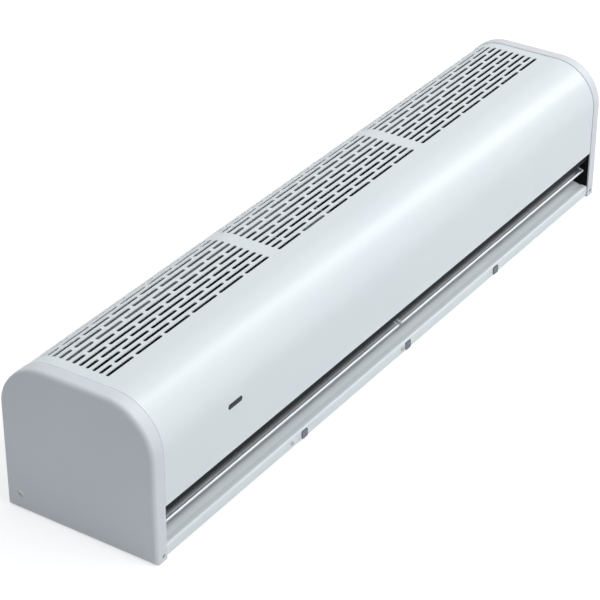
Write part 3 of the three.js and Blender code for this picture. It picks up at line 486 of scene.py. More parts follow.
def carved(piece: bpy.types.Object, cutters: Surface) -> bpy.types.Object:
    """Takes the space of some closed surfaces out of a piece and keeps the result as its mesh.

    Args:
        piece: The piece to cut.
        cutters: What is taken out.

    Returns:
        The same piece.
    """
    tool = make_object(piece.name + "_cutter", cutters)
    modifier = piece.modifiers.new("carve", "BOOLEAN")
    modifier.operation = "DIFFERENCE"
    modifier.solver = "EXACT"
    modifier.use_self = True
    modifier.object = tool
    graph = bpy.context.evaluated_depsgraph_get()
    result = bpy.data.meshes.new_from_object(piece.evaluated_get(graph))
    piece.modifiers.clear()
    piece.data = result
    result.shade_smooth()
    result.set_sharp_from_angle(angle=math.radians(HARD_EDGE))
    bpy.data.objects.remove(tool, do_unlink=True)
    return piece


# ---- Finishes ----


def linear(colour: str) -> tuple[float, float, float, float]:
    """Turns an sRGB hex colour into linear red, green, blue and alpha."""
    parts = np.array([int(colour[place:place + 2], 16) for place in (1, 3, 5)]) / 255
    light = np.where(parts <= 0.04045, parts / 12.92, ((parts + 0.055) / 1.055) ** 2.4)
    return float(light[0]), float(light[1]), float(light[2]), 1.0


def add_node(
    tree: bpy.types.NodeTree,
    kind: str,
    settings: dict[str | int, Any] | None = None,
    links: dict[str | int, tuple[bpy.types.Node, str | int]] | None = None,
) -> bpy.types.Node:
    """Adds a node with its settings and links.

    Args:
        tree: Where the node goes.
        kind: Blender's type name of the node.
        settings: Values by input socket or by property name.
        links: For each input socket, the node and output socket that feed it.

    Returns:
        The node.
    """
    node = tree.nodes.new(kind)
    for key, value in (settings or {}).items():
        if isinstance(key, int) or key in node.inputs:
            node.inputs[key].default_value = value
        else:
            setattr(node, key, value)
    for key, (source, output) in (links or {}).items():
        tree.links.new(source.outputs[output], node.inputs[key])
    return node


class Relief(Enum):
    """The fine shape that a process leaves on a surface."""

    ORANGE_PEEL = "soft round waves of a baked powder coat"
    SPARK = "even fine grain of a spark-eroded mould"
    DRAWN = "straight lines along X from rolling, drawing or extruding"
    SPANGLE = "crystals of a zinc coat"
    TURNED = "rings round the X axis from a lathe"
    CLOTH = "glass weave under lacquer"


@dataclass(frozen=True)
class Finish:
    """A real material with the way that its surface was made.

    Attributes:
        name: The material's common name and making.
        shade: Main colour, sRGB hex.
        drift: Colour that the main one drifts to in broad soft patches, sRGB hex.
        drift_mm: Size of those patches.
        roughness: Middle value of the roughness.
        spread: How far the roughness goes to each side.
        relief: The fine shape of the surface.
        relief_mm: Size of one wave, grain or crystal.
        depth_mm: Height of that relief.
        metallic: 1 for bare metal.
        ior: Index of refraction; metals keep the default.
        coat: Weight of a clear layer.
        gloss: Specular level; 0.5 is what the index of refraction gives.
        painted_shade: A dark colour painted behind the line painted_shade_y as the shade deep inside a duct,
            sRGB hex.
        painted_shade_y: The Y, in millimetres, behind which the colour is all painted shade.
        painted_shade_fade: Over how many millimetres in front of that line the main colour darkens into the
            painted shade.
        coat_roughness: Roughness of the clear layer.
    """

    name: str
    shade: str
    drift: str
    drift_mm: float
    roughness: float
    spread: float
    relief: Relief
    relief_mm: float
    depth_mm: float
    metallic: float = 0.0
    ior: float = 1.5
    coat: float = 0.0
    gloss: float = 0.5
    painted_shade: str = ""
    painted_shade_y: float = 0.0
    painted_shade_fade: float = 4.0
    coat_roughness: float = 0.12

    def material(self) -> bpy.types.Material:
        """Builds the material, once for each finish.

        Returns:
            The material, from the file if it is there already.
        """
        if self.name in bpy.data.materials:
            return bpy.data.materials[self.name]
        made = bpy.data.materials.new(self.name)
        made.use_nodes = True
        made.diffuse_color = linear(self.shade)
        tree = made.node_tree
        tree.nodes.clear()
        place = add_node(tree, "ShaderNodeTexCoord")
        patches = add_node(
            tree, "ShaderNodeTexNoise",
            {"Scale": 1 / (self.drift_mm * MM), "Detail": 2.0, "Roughness": 0.5},
            {"Vector": (place, "Object")},
        )
        height = self.height(tree, place)
        colour = add_node(
            tree, "ShaderNodeMix",
            {"data_type": "RGBA", 6: linear(self.shade), 7: linear(self.drift)},
            {0: (self.colour_share(tree, patches, height), 0)},
        )
        # Painted shade: the colour darkens to near black towards the back of the duct.
        if self.painted_shade:
            colour = self.over_painted_shade(tree, place, colour)
        polish = add_node(
            tree, "ShaderNodeMapRange",
            {"To Min": self.roughness - self.spread, "To Max": self.roughness + self.spread},
            {"Value": (patches, 0)},
        )
        bump = add_node(
            tree, "ShaderNodeBump",
            {"Strength": 1.0, "Distance": self.depth_mm * MM},
            {"Height": (height, 0)},
        )
        settings: dict[str | int, Any] = {"Metallic": self.metallic, "Coat Weight": self.coat}
        settings["Coat Roughness"] = self.coat_roughness
        if not self.metallic:
            settings["IOR"] = self.ior
            settings["Specular IOR Level"] = self.gloss
        shader = add_node(
            tree, "ShaderNodeBsdfPrincipled", settings,
            {"Base Color": (colour, 2), "Roughness": (polish, 0), "Normal": (bump, 0)},
        )
        add_node(tree, "ShaderNodeOutputMaterial", links={"Surface": (shader, 0)})
        return made

    def over_painted_shade(
        self, tree: bpy.types.NodeTree, place: bpy.types.Node, colour: bpy.types.Node
    ) -> bpy.types.Node:
        """Mixes the top coat with a painted shade colour, whose share goes from 0 to 1 over the fade, so the
        colour darkens deeper in the duct.

        Args:
            tree: The material's tree.
            place: The texture coordinate node.
            colour: The node that gives the top coat's colour.

        Returns:
            A node whose colour is on the same output.
        """
        along = add_node(tree, "ShaderNodeSeparateXYZ", links={0: (place, "Object")})
        share = add_node(
            tree, "ShaderNodeMapRange",
            {"From Min": (self.painted_shade_y - self.painted_shade_fade) * MM, "From Max": self.painted_shade_y * MM},
            {"Value": (along, "Y")},
        )
        return add_node(
            tree, "ShaderNodeMix",
            {"data_type": "RGBA", 7: linear(self.painted_shade)},
            {0: (share, 0), 6: (colour, 2)},
        )

    def colour_share(
        self, tree: bpy.types.NodeTree, patches: bpy.types.Node, height: bpy.types.Node
    ) -> bpy.types.Node:
        """The node that says how far the colour drifts: by patch, or by crystal or drawn line."""
        source = height if self.relief in (Relief.SPANGLE, Relief.DRAWN) else patches
        return add_node(
            tree, "ShaderNodeMapRange",
            {"From Min": 0.25, "From Max": 0.75},
            {"Value": (source, 0)},
        )

    def height(self, tree: bpy.types.NodeTree, place: bpy.types.Node) -> bpy.types.Node:
        """Adds the nodes of the relief.

        Args:
            tree: The material's tree.
            place: The texture coordinate node.

        Returns:
            A node whose first output is the height, from 0 to 1.
        """
        per_metre = 1 / (self.relief_mm * MM)
        # Drawn lines are some hundred times as long as they are wide, and turned rings some fifty.
        stretches = {Relief.DRAWN: ((0.008, 1.0, 1.0), 3.0), Relief.TURNED: ((1.0, 0.02, 0.02), 2.0)}
        if self.relief in stretches:
            scale, detail = stretches[self.relief]
            stretch = add_node(tree, "ShaderNodeMapping", {"Scale": scale}, {"Vector": (place, "Object")})
            settings = {"Scale": per_metre, "Detail": detail}
            return add_node(tree, "ShaderNodeTexNoise", settings, {"Vector": (stretch, 0)})
        if self.relief is Relief.SPANGLE:
            cells = add_node(
                tree, "ShaderNodeTexVoronoi",
                {"Scale": per_metre, "feature": "F1"},
                {"Vector": (place, "Object")},
            )
            return add_node(tree, "ShaderNodeSeparateColor", links={0: (cells, "Color")})
        if self.relief is Relief.CLOTH:
            return add_node(
                tree, "ShaderNodeTexBrick",
                {"Scale": per_metre / 4, "Mortar Size": 0.01, "Mortar Smooth": 1.0},
                {"Vector": (place, "Object")},
            )
        detail = 0.0 if self.relief is Relief.ORANGE_PEEL else 2.0
        return add_node(
            tree, "ShaderNodeTexNoise",
            {"Scale": per_metre, "Detail": detail, "Roughness": 0.6},
            {"Vector": (place, "Object")},
        )


# Baked polyester powder on steel: a satin gloss with soft waves about 3 mm across.
POWDER_COAT = Finish(
    "powder coated steel", "#dfe7ea", "#e2e9eb", 160, 0.31, 0.02, Relief.ORANGE_PEEL, 3.2, 0.01,
)
# The same coat on the duct, with painted shade: its colour darkens inwards to near black, standing for the
# shade deep in the mouth and behind the intake slots.
DUCT_STEEL_PAINTED_SHADE = Finish(
    "steel coated at the mouth with painted shade inwards", "#dfe7ea", "#e2e9eb", 160, 0.34, 0.04, Relief.ORANGE_PEEL, 3.2, 0.01,
    painted_shade="#17191b", painted_shade_y=-35, painted_shade_fade=46,
)
# Moulded ABS of the caps: a shade greyer and duller than the coat, with a fine even grain.
CAP_ABS = Finish("moulded light grey ABS", "#d9dde2", "#dde1e5", 120, 0.42, 0.03, Relief.SPARK, 1.4, 0.02)
# Moulded black polypropylene: dull and deep black, with hardly any gloss; its black also stands as painted
# shade for the dark gap under the casing's front edge and the dark end walls of the mouth.
BLACK_PLASTIC_AND_PAINTED_SHADE = Finish(
    "moulded black polypropylene and painted shade", "#0b0c0e", "#111214", 40, 0.62, 0.06, Relief.SPARK, 1.2, 0.03, gloss=0.12,
)
# Galvanised steel sheet: cool grey crystals some 5 mm across, half polished.
GALVANISED = Finish(
    "galvanised steel sheet", "#a6acb0", "#b1b6b9", 60, 0.42, 0.06, Relief.SPANGLE, 5, 0.004, 1.0,
)
# Extruded aluminium, satin anodised: it mirrors the dark mouth softly, with faint lines along the length.
ANODISED_ALUMINIUM = Finish(
    "satin anodised aluminium", "#c3c8cc", "#cdd1d5", 200, 0.34, 0.03, Relief.DRAWN, 1.5, 0.008, 1.0,
)
# Pressed aluminium fan, coloured dark as painted shade so that the inside reads dark through the slots: lines
# of the coil run along the blades.
FAN_ALUMINIUM_PAINTED_SHADE = Finish(
    "mill finish aluminium darkened as painted shade", "#3c4043", "#484c50", 50, 0.42, 0.08, Relief.DRAWN, 1.2, 0.01, 1.0,
)
# Motor shell in stoved grey enamel over drawn steel.
MOTOR_ENAMEL = Finish(
    "stoved grey enamel", "#6f767c", "#7b8187", 40, 0.4, 0.05, Relief.ORANGE_PEEL, 2.5, 0.02, coat=0.2,
)
# Ground steel of shafts and bearings: bright, with fine rings round the axis.
GROUND_STEEL = Finish("ground steel", "#b9bdc0", "#cfd2d4", 20, 0.24, 0.06, Relief.TURNED, 0.6, 0.006, 1.0)
# Black EPDM: nearly no gloss, with a bloom that greys it in patches.
RUBBER = Finish(
    "moulded black EPDM rubber", "#191919", "#242424", 18, 0.78, 0.06, Relief.SPARK, 0.8, 0.03,
)
# Green solder lacquer over glass cloth.
LACQUERED_BOARD = Finish(
    "green lacquered glass laminate", "#1f5236", "#2a6443", 14, 0.3, 0.05, Relief.CLOTH, 1.0, 0.01, coat=0.5,
)
# Cream nylon of the capacitor and the terminal block.
CREAM_NYLON = Finish("moulded cream nylon", "#e4dfcf", "#ebe6d8", 20, 0.45, 0.05, Relief.SPARK, 1.0, 0.02)
# Nickel plate of the screws: warm bright grey, softened by the barrel it was plated in.
NICKEL_PLATE = Finish(
    "nickel plated steel", "#b5b4af", "#c8c7c3", 6, 0.3, 0.07, Relief.SPARK, 0.7, 0.006, 1.0,
)
# Deep red-black polycarbonate that lets infrared through: it looks black, with a weak sheen.
DARK_LENS = Finish(
    "tinted polycarbonate", "#0a080b", "#0e0b10", 8, 0.3, 0.03, Relief.ORANGE_PEEL, 4, 0.004,
    ior=1.58, gloss=0.2,
)
# Phosphated spring steel of the clips: a dull mid grey, a little lighter on rubbed places.
PHOSPHATED = Finish(
    "phosphated spring steel", "#6b7075", "#7c8186", 5, 0.5, 0.06, Relief.SPARK, 0.7, 0.006, 1.0,
)


def settle(
    piece: bpy.types.Object, finish: Finish, body: str, stands_for: Sequence[str] = ()
) -> bpy.types.Object:
    """Dresses a new piece and ties it to the frame.

    Args:
        piece: The piece.
        finish: What it is made of.
        body: The CAD body that it moves with.
        stands_for: The CAD nodes that it replaces.

    Returns:
        The same piece.
    """
    piece.data.materials.clear()
    piece.data.materials.append(finish.material())
    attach(piece, body)
    if stands_for:
        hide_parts(*stands_for)
    log.info("%s: %d faces, %s", piece.name, len(piece.data.polygons), finish.name)
    return piece


def dress_nodes(finish: Finish, *names: str) -> None:
    """Gives CAD nodes that stay in view their finish."""
    for name in names:
        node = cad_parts[name]
        for place in node.material_slots:
            place.material = finish.material()
        log.info("%s: kept from the frame, %s", name, finish.name)


# ---- Sub-assemblies ----


@dataclass(frozen=True)
class Envelope:
    """The outer form that the casing, the caps and the linings share."""

    length: float = 1008.0
    depth: float = 202.0
    height: float = 194.0
    front_radius: float = 60.0
    rear_radius: float = 58.0
    sheet: float = 1.2
    fit: float = 0.3
    cap_width: float = 19.0
    cap_wall: float = 2.0
    tuck: float = 5.0
    axis_y: float = 22.0
    axis_z: float = 108.0
    skin_rise: float = 1.8
    pan_rise: float = 0.8
    fan_radius: float = 46.0
    mouth_top_z: float = 68.0
    rail_thickness: float = 3.2
    lip_height: float = 16.0
    lip_return: float = 8.0
    window_x: float = -355.0
    window_z: float = 127.0
    window_length: float = 26.0
    window_height: float = 6.5

    @property
    def inset(self) -> float:
        """How far the sheet lies inside the outline of the caps."""
        return self.cap_wall + self.fit

    @property
    def rim_x(self) -> float:
        """Where a cap starts."""
        return self.length / 2 - self.cap_width

    @property
    def sheet_end_x(self) -> float:
        """Where the sheets end, inside a cap."""
        return self.rim_x + self.tuck

    @property
    def duct_end_x(self) -> float:
        """Where the linings of the air path end."""
        return self.rim_x - self.sheet

    @property
    def front_y(self) -> float:
        """Front face of the sheet."""
        return -self.depth / 2 + self.inset

    @property
    def back_y(self) -> float:
        """Back face of the sheet."""
        return self.depth / 2 - self.inset

    @property
    def flange_y(self) -> float:
        """Front of the flange behind the mouth's rail."""
        return self.front_y + self.sheet + 2 * self.fit + self.rail_thickness

    def over_the_top(
        self, inset: float, front_z: float, back_z: float, step: float = 4.5,
        back_inset: float | None = None,
    ) -> Profile:
        """The end view drawn in by an inset, from low in front, over the top, to low at the back.

        Args:
            inset: How far inside the outline.
            front_z: Where the path starts.
            back_z: Where it ends.
            step: Degrees between two points of a bend.
            back_inset: How far inside the outline at the back, where that differs.

        Returns:
            The path, with the outside on its left.
        """
        back = self.depth / 2 - (inset if back_inset is None else back_inset)
        front, top = -self.depth / 2 + inset, self.height - inset
        corners = [(front, front_z), (front, top), (back, top), (back, back_z)]
        return Profile.bent(corners, [self.front_radius - inset, self.rear_radius - inset], step)


@dataclass(frozen=True)
class Casing:
    """The painted sheets, the moulded caps and the plates at the back."""

    form: Envelope = Envelope()
    skirt_z: float = 118.0
    group_count: int = 3
    group_gap: float = 20.3
    end_margin: float = 34.8
    slots_in_row: int = 6
    slot_gap: float = 5.0
    slot_width: float = 4.5
    row_count: int = 13
    row_pitch: float = 8.93
    first_row_y: float = -17.4
    rear_flange: float = 20.0
    bend: float = 2.2
    cap_round: float = 6.0
    face_border: float = 1.5
    cap_screw_radius: float = 3.9
    cap_screw_y: float = 84.0
    cap_screw_z: float = 22.0
    corner_screw_radius: float = 3.1
    corner_screw_x: float = 491.5
    corner_screw_z: float = 7.0
    recess: float = 1.8
    cap_edge: float = 0.4
    seam: float = 0.2
    spare: float = 0.5
    window_margins: tuple[float, float] = (3.0, 2.4)

    def slots(self, profile: Profile) -> list[Hole]:
        """The intake slots: rows in groups, with every second row moved by half a slot.

        Args:
            profile: The casing's outer face.

        Returns:
            One hole for each slot.
        """
        top_start = -self.form.depth / 2 + self.form.front_radius
        start_s = float(profile.lengths[np.searchsorted(profile.points[:, 0], top_start - 0.01)])
        first_s = start_s + self.first_row_y - top_start
        clear = self.form.length - 2 * self.end_margin - (self.group_count - 1) * self.group_gap
        group = clear / self.group_count
        pitch = (group + self.slot_gap) / self.slots_in_row
        margin_s = (self.row_pitch - self.slot_width) / 2
        holes = []
        for section in range(self.group_count):
            left = -self.form.length / 2 + self.end_margin + section * (group + self.group_gap)
            for row in range(self.row_count):
                shift = pitch / 2 if row % 2 else 0.0
                for slot in range(-(row % 2), self.slots_in_row):
                    start = max(0.0, slot * pitch + shift)
                    end = min(group, (slot + 1) * pitch + shift - self.slot_gap)
                    middle = first_s + row * self.row_pitch
                    slot_size = (self.slot_width, self.slot_gap / 2, margin_s)
                    holes.append(Hole(left + start, left + end, middle, *slot_size))
        return holes

    def skin(self) -> bpy.types.Object:
        """Front, top and upper back in one bent sheet with the intake slots and the window's hole."""
        profile = self.form.over_the_top(self.form.inset, self.form.mouth_top_z, self.skirt_z)
        slots = self.slots(profile)
        half = self.form.window_length / 2 + self.form.fit
        window = Hole(
            self.form.window_x - half, self.form.window_x + half, self.form.window_z - self.form.mouth_top_z,
            self.form.window_height + 2 * self.form.fit, *self.window_margins,
        )
        low, high = slots[0].s_lines()[0] - self.spare, slots[-1].s_lines()[-1] + self.spare
        bends = profile.lengths[(profile.lengths < low) | (profile.lengths > high)]
        end, step = self.form.sheet_end_x, self.form.rim_x - self.seam
        lines = [-end, -step, 1 - step, step - 1, step, end]
        surface = pressed_sheet(
            profile, self.form.sheet, lines, bends, [*slots, window], (), (self.form.skin_rise, step)
        )
        return make_object("casing_skin", surface)

    def bottom(self) -> bpy.types.Object:
        """Underside sheet: rear flange, floor, front lip, and the lip's return over the mouth's floor."""
        front, back = self.form.front_y, self.form.back_y
        corners = [
            (back, self.rear_flange),
            (back, self.form.inset),
            (front, self.form.inset),
            (front, self.form.lip_height),
            (front + self.form.lip_return, self.form.lip_height),
        ]
        profile = Profile.bent(corners, [self.bend] * 3, FOLD_STEP)
        end, notch = self.form.sheet_end_x, self.form.duct_end_x
        top = profile.length - self.form.lip_return - self.bend
        missing = [(-end, -notch, top, profile.length), (notch, end, top, profile.length)]
        step = self.form.rim_x - self.seam
        lines = [-end, -step, -notch, 1 - step, step - 1, notch, step, end]
        joggle = (self.form.pan_rise, step)
        pan = pressed_sheet(profile, self.form.sheet, lines, profile.lengths, (), missing, joggle)
        return make_object("bottom_pan", pan)

    def cap(self, side: str) -> bpy.types.Object:
        """A moulded cap: its outline is drawn in by r(1 - cos t) as x goes out by r sin t.

        The outline keeps its place along the wall.

        Args:
            side: "left" or "right".

        Returns:
            The cap, with its two screw recesses.
        """
        wall = self.form.cap_wall
        outside = self.dome(0.0, self.form.length / 2, self.cap_round)
        inside = self.dome(wall, self.form.length / 2 - wall, self.cap_round - wall)
        count = self.sections_of_dome()[1]
        start = len(outside.points)
        across = np.arange(count)
        following = (across + 1) % count
        rim = np.column_stack([across, following, following + start, across + start])
        shell = joined([outside, inside])
        shell.quads = np.vstack([shell.quads, rim])
        recesses = self.recesses()
        if SIDES[side] < 0:
            shell, recesses = shell.mirrored(), recesses.mirrored()
        return bevelled(carved(make_object(side + "_cap_moulding", shell), recesses), self.cap_edge)

    def recesses(self) -> Surface:
        """The space of the two screw heads in the right-hand cap: one sunk in its face, one in its front."""
        face, front = self.form.length / 2, self.form.depth / 2
        in_face = rod(self.cap_screw_radius, face - self.recess, face + 1, 32)
        in_front = rod(self.corner_screw_radius, front - self.recess, front + 1, 24)
        return joined([
            in_face.shifted(0.0, self.cap_screw_y, self.cap_screw_z),
            in_front.turned_about_z(-math.pi / 2).shifted(self.corner_screw_x, 0.0, self.corner_screw_z),
        ])

    def sections_of_dome(self) -> tuple[int, int]:
        """Number of sections from rim to face, and of points in each."""
        path = self.form.over_the_top(0.0, 0.0, 0.0, CAP_STEP)
        return 9, len(path.points)

    def dome(self, inset: float, face_x: float, round_radius: float) -> Surface:
        """One skin of a cap, from its rim to its flat face, open at the rim.

        Args:
            inset: How far inside the casing's outline its straight part lies.
            face_x: Where its flat face lies.
            round_radius: Radius between them, everywhere but along the wall.

        Returns:
            The open surface.
        """
        rows, columns = self.sections_of_dome()
        angles = np.linspace(0.0, math.pi / 2, rows - 2)
        curve = inset + round_radius * (1 - np.cos(angles))
        insets = np.concatenate([[inset], curve, [inset + round_radius + self.face_border]])
        reach = face_x - round_radius + round_radius * np.sin(angles)
        places = np.concatenate([[self.form.rim_x], reach, [face_x]])
        outlines = [self.form.over_the_top(drawn, drawn, drawn, CAP_STEP, inset).points for drawn in insets]
        points = np.column_stack([np.repeat(places, columns), np.vstack(outlines)])
        face = (rows - 1) * columns + np.arange(columns)
        return Surface(points, grid_quads(rows, columns, wrap_columns=True), [face])

    def build(self) -> None:
        """Builds and dresses the casing."""
        settle(self.skin(), POWDER_COAT, "root", ["casing_shell"])
        settle(self.bottom(), POWDER_COAT, "root", ["bottom_plate"])
        for side in SIDES:
            settle(self.cap(side), CAP_ABS, "root", [side + "_end_cap"])
        # The side plates' black also serves as painted shade on the end walls of the mouth.
        dress_nodes(BLACK_PLASTIC_AND_PAINTED_SHADE, "left_side_plate", "right_side_plate")
        dress_nodes(GALVANISED, "back_plate", "wall_bracket")


@dataclass(frozen=True)
class AirPath:
    """The plates that lead the air from the fan to the mouth."""

    form: Envelope = Envelope()
    scroll_top: float = 20.0
    scroll_leave: float = -75.0
    top_gap: float = 6.3
    growth: float = 0.088
    rail_height: float = 22.0
    rail_drop: float = 11.0
    tongue_gap: float = 5.5
    nose_z: float = 95.0
    nose: float = 5.0
    tongue_flange: float = 20.0
    lead_x: float = 70.0
    lead_radius: float = 3.0

    @property
    def back_plate_y(self) -> float:
        """Inner face of the back plate."""
        return self.form.back_y - 2 * self.form.sheet - self.form.fit

    def scroll_radius(self, degrees: Array) -> Array:
        """Radius of the spiral: it grows evenly as it goes down from the top."""
        return self.form.fan_radius + self.top_gap + self.growth * (self.scroll_top - degrees)

    def scroll(self) -> bpy.types.Object:
        """Floor of the mouth, spiral wall behind the fan, and flange to the back plate in one sheet."""
        degrees = np.linspace(self.scroll_leave, self.scroll_top, 33)
        radius, angle = self.scroll_radius(degrees), np.radians(degrees)
        spiral = np.column_stack([
            self.form.axis_y + radius * np.cos(angle),
            self.form.axis_z + radius * np.sin(angle),
        ])
        lip = [self.form.front_y + self.form.lip_return + self.form.fit, self.form.lip_height]
        flange = [self.back_plate_y - self.form.fit, spiral[-1, 1]]
        profile = Profile(np.vstack([lip, spiral, flange]))
        end = self.form.duct_end_x
        behind = float(self.scroll_radius(np.array(0.0))) + self.form.sheet + 3 * self.lead_radius
        hole_y = self.form.axis_y + behind
        radius = self.lead_radius + 2 * self.form.fit
        place = profile.length - (flange[0] - hole_y)
        hole = Hole(self.lead_x - radius, self.lead_x + radius, place, 2 * radius, 3.0, 3.0)
        surface = pressed_sheet(profile, self.form.sheet, [-end, end], profile.lengths, [hole])
        return make_object("scroll_sheet", surface)

    def tongue(self) -> bpy.types.Object:
        """The plate between intake and outlet: flange, roof of the mouth, round nose, and rise to the top."""
        nose_y = self.form.axis_y - self.form.fan_radius - self.tongue_gap
        top = self.form.height - self.form.inset - self.form.sheet - self.form.fit
        corners = [
            (nose_y - self.nose, top),
            (nose_y - self.nose, self.nose_z + 2 * self.nose),
            (nose_y, self.nose_z + self.nose),
            (nose_y, self.nose_z),
            (nose_y - self.nose, self.nose_z - self.nose),
            (self.form.flange_y, self.form.mouth_top_z),
            (self.form.flange_y, self.form.mouth_top_z + self.tongue_flange),
        ]
        profile = Profile.bent(corners, [3.0, 3.0, 3.0, 3.0, 2.0], FOLD_STEP)
        end = self.form.duct_end_x
        surface = pressed_sheet(profile, self.form.sheet, [-end, end], profile.lengths)
        return make_object("tongue_sheet", surface)

    def rail(self) -> bpy.types.Object:
        """Black plastic rail behind the casing's front edge, with soft corners; its black also serves as
        painted shade in the gap under that edge.
        """
        front = self.form.front_y + self.form.sheet + self.form.fit
        back = front + self.form.rail_thickness
        low = self.form.mouth_top_z - self.rail_drop
        high = low + self.rail_height
        outline = rounded_loop([(front, low), (back, low), (back, high), (front, high)], [1.0, 1.0, 0.4, 0.4])
        return make_object("mouth_rail", swept_x(outline, [-self.form.duct_end_x, self.form.duct_end_x]))

    def build(self) -> None:
        """Builds and dresses the air path."""
        # The duct's colour darkens inwards as painted shade.
        settle(self.scroll(), DUCT_STEEL_PAINTED_SHADE, "root", ["scroll_plate"])
        settle(self.tongue(), GALVANISED, "root", ["tongue_plate"])
        settle(self.rail(), BLACK_PLASTIC_AND_PAINTED_SHADE, "root", ["outlet_rail"])


@dataclass(frozen=True)
class Outlet:
    """The two tilting vanes and their hangers."""

    form: Envelope = Envelope()
    chord: float = 34.0
    thickness: float = 2.4
    bead: float = 2.0
    tilt: float = 25.0
    pivot_back: float = 21.5
    pivot_z: float = 48.0
    pin_radius: float = 2.5
    plug: float = 2.5
    end_gap: float = 1.0
    hanger: float = 3.0
    hanger_radius: float = 6.5
    nose_y: float = -34.5
    roof_high_z: float = 90.0

    @property
    def pivot_y(self) -> float:
        """The pins' place, back from the face of the casing."""
        return self.form.front_y + self.pivot_back

    @property
    def hanger_x(self) -> float:
        """Inner face of an end hanger."""
        return self.form.duct_end_x - self.hanger

    def section(self) -> Array:
        """End view of a vane about its pivot: a flat slat with a round bead in front and a round tail."""
        half, front, tail = self.thickness / 2, -self.chord / 2, self.chord / 2
        start = math.asin(half / self.bead)
        angles = np.linspace(start, 2 * math.pi - start, 22)
        bead = np.column_stack([front + self.bead * np.cos(angles), self.bead * np.sin(angles)])
        turn = np.linspace(-math.pi / 2, math.pi / 2, 9)
        back = np.column_stack([tail - half + half * np.cos(turn), half * np.sin(turn)])
        return np.vstack([bead, back])

    def placed(self, part: Surface) -> Surface:
        """Tilts a part of a vane and puts it on the pivot."""
        tilted = part.turned_about_x(math.radians(self.tilt))
        return tilted.shifted(0.0, self.pivot_y, self.pivot_z)

    def vane(self, side: str) -> bpy.types.Object:
        """The slat between its two plugs."""
        inner = self.hanger / 2 + self.end_gap + self.plug + self.form.fit
        outer = self.hanger_x - self.end_gap - self.plug - self.form.fit
        slat = swept_x(self.section(), sorted([SIDES[side] * inner, SIDES[side] * outer]))
        return make_object(side + "_vane_slat", self.placed(slat))

    def plug_at(self, side: str, place: str) -> bpy.types.Object:
        """A moulded plug with its pin, in one end of a vane.

        Args:
            side: "left" or "right" vane.
            place: "inner" or "outer" end of it.

        Returns:
            The plug.
        """
        length = self.end_gap + self.hanger / 2 - self.form.fit
        tip = 0.5
        body = swept_x(self.section(), [0.0, self.plug])
        radius = self.pin_radius
        pin = turned([
            (self.plug / 2, 0.0), (self.plug / 2, radius), (-length + tip, radius),
            (-length, radius - tip), (-length, 0.0),
        ], 24)
        part = joined([body, pin])
        start = self.hanger / 2 + self.end_gap
        end = self.hanger_x - self.end_gap
        made = part.shifted(start) if place == "inner" else part.mirrored().shifted(end)
        made = made if SIDES[side] > 0 else made.mirrored()
        return make_object(f"{side}_vane_{place}_plug", self.placed(made))

    def roof_z(self, y: float) -> float:
        """Height of the sloping roof of the mouth at a given y."""
        rise = (self.roof_high_z - self.form.mouth_top_z) / (self.nose_y - self.form.flange_y)
        return self.form.mouth_top_z + rise * (y - self.form.flange_y)

    def hanger_at(self, name: str, x: float) -> bpy.types.Object:
        """A black plastic hanger under the roof with a round eye for the pins; its black also serves as
        painted shade inside the mouth.

        Args:
            name: Name of the piece.
            x: Its lower x.

        Returns:
            The hanger.
        """
        reach = self.hanger_radius
        angles = np.linspace(math.pi, 2 * math.pi, 25)
        foot = np.column_stack([
            self.pivot_y + reach * np.cos(angles), self.pivot_z + reach * np.sin(angles)
        ])
        tops = [self.pivot_y + 2 * reach, self.pivot_y - reach]
        head = np.array([(y, self.roof_z(y) - self.form.fit) for y in tops])
        piece = make_object(name, swept_x(np.vstack([foot, head]), [x, x + self.hanger]))
        bore = self.pin_radius + self.form.fit
        drill = turned([(-5, 0), (-5, bore), (self.hanger + 5, bore), (self.hanger + 5, 0)], 24)
        return bevelled(carved(piece, drill.shifted(x, self.pivot_y, self.pivot_z)), 0.35)

    def build(self) -> None:
        """Builds and dresses the vanes and hangers."""
        for side in SIDES:
            body = side + "_vane_body"
            settle(self.vane(side), ANODISED_ALUMINIUM, body, [side + "_vane"])
            for place in ("inner", "outer"):
                node = f"{side}_vane_{place}_pin"
                settle(self.plug_at(side, place), CAP_ABS, body, [node])
        places = {"centre": -self.hanger / 2, "left": -self.hanger_x - self.hanger, "right": self.hanger_x}
        for name, x in places.items():
            piece = self.hanger_at(name + "_vane_hanger", x)
            settle(piece, BLACK_PLASTIC_AND_PAINTED_SHADE, "root", [name + "_vane_bracket"])


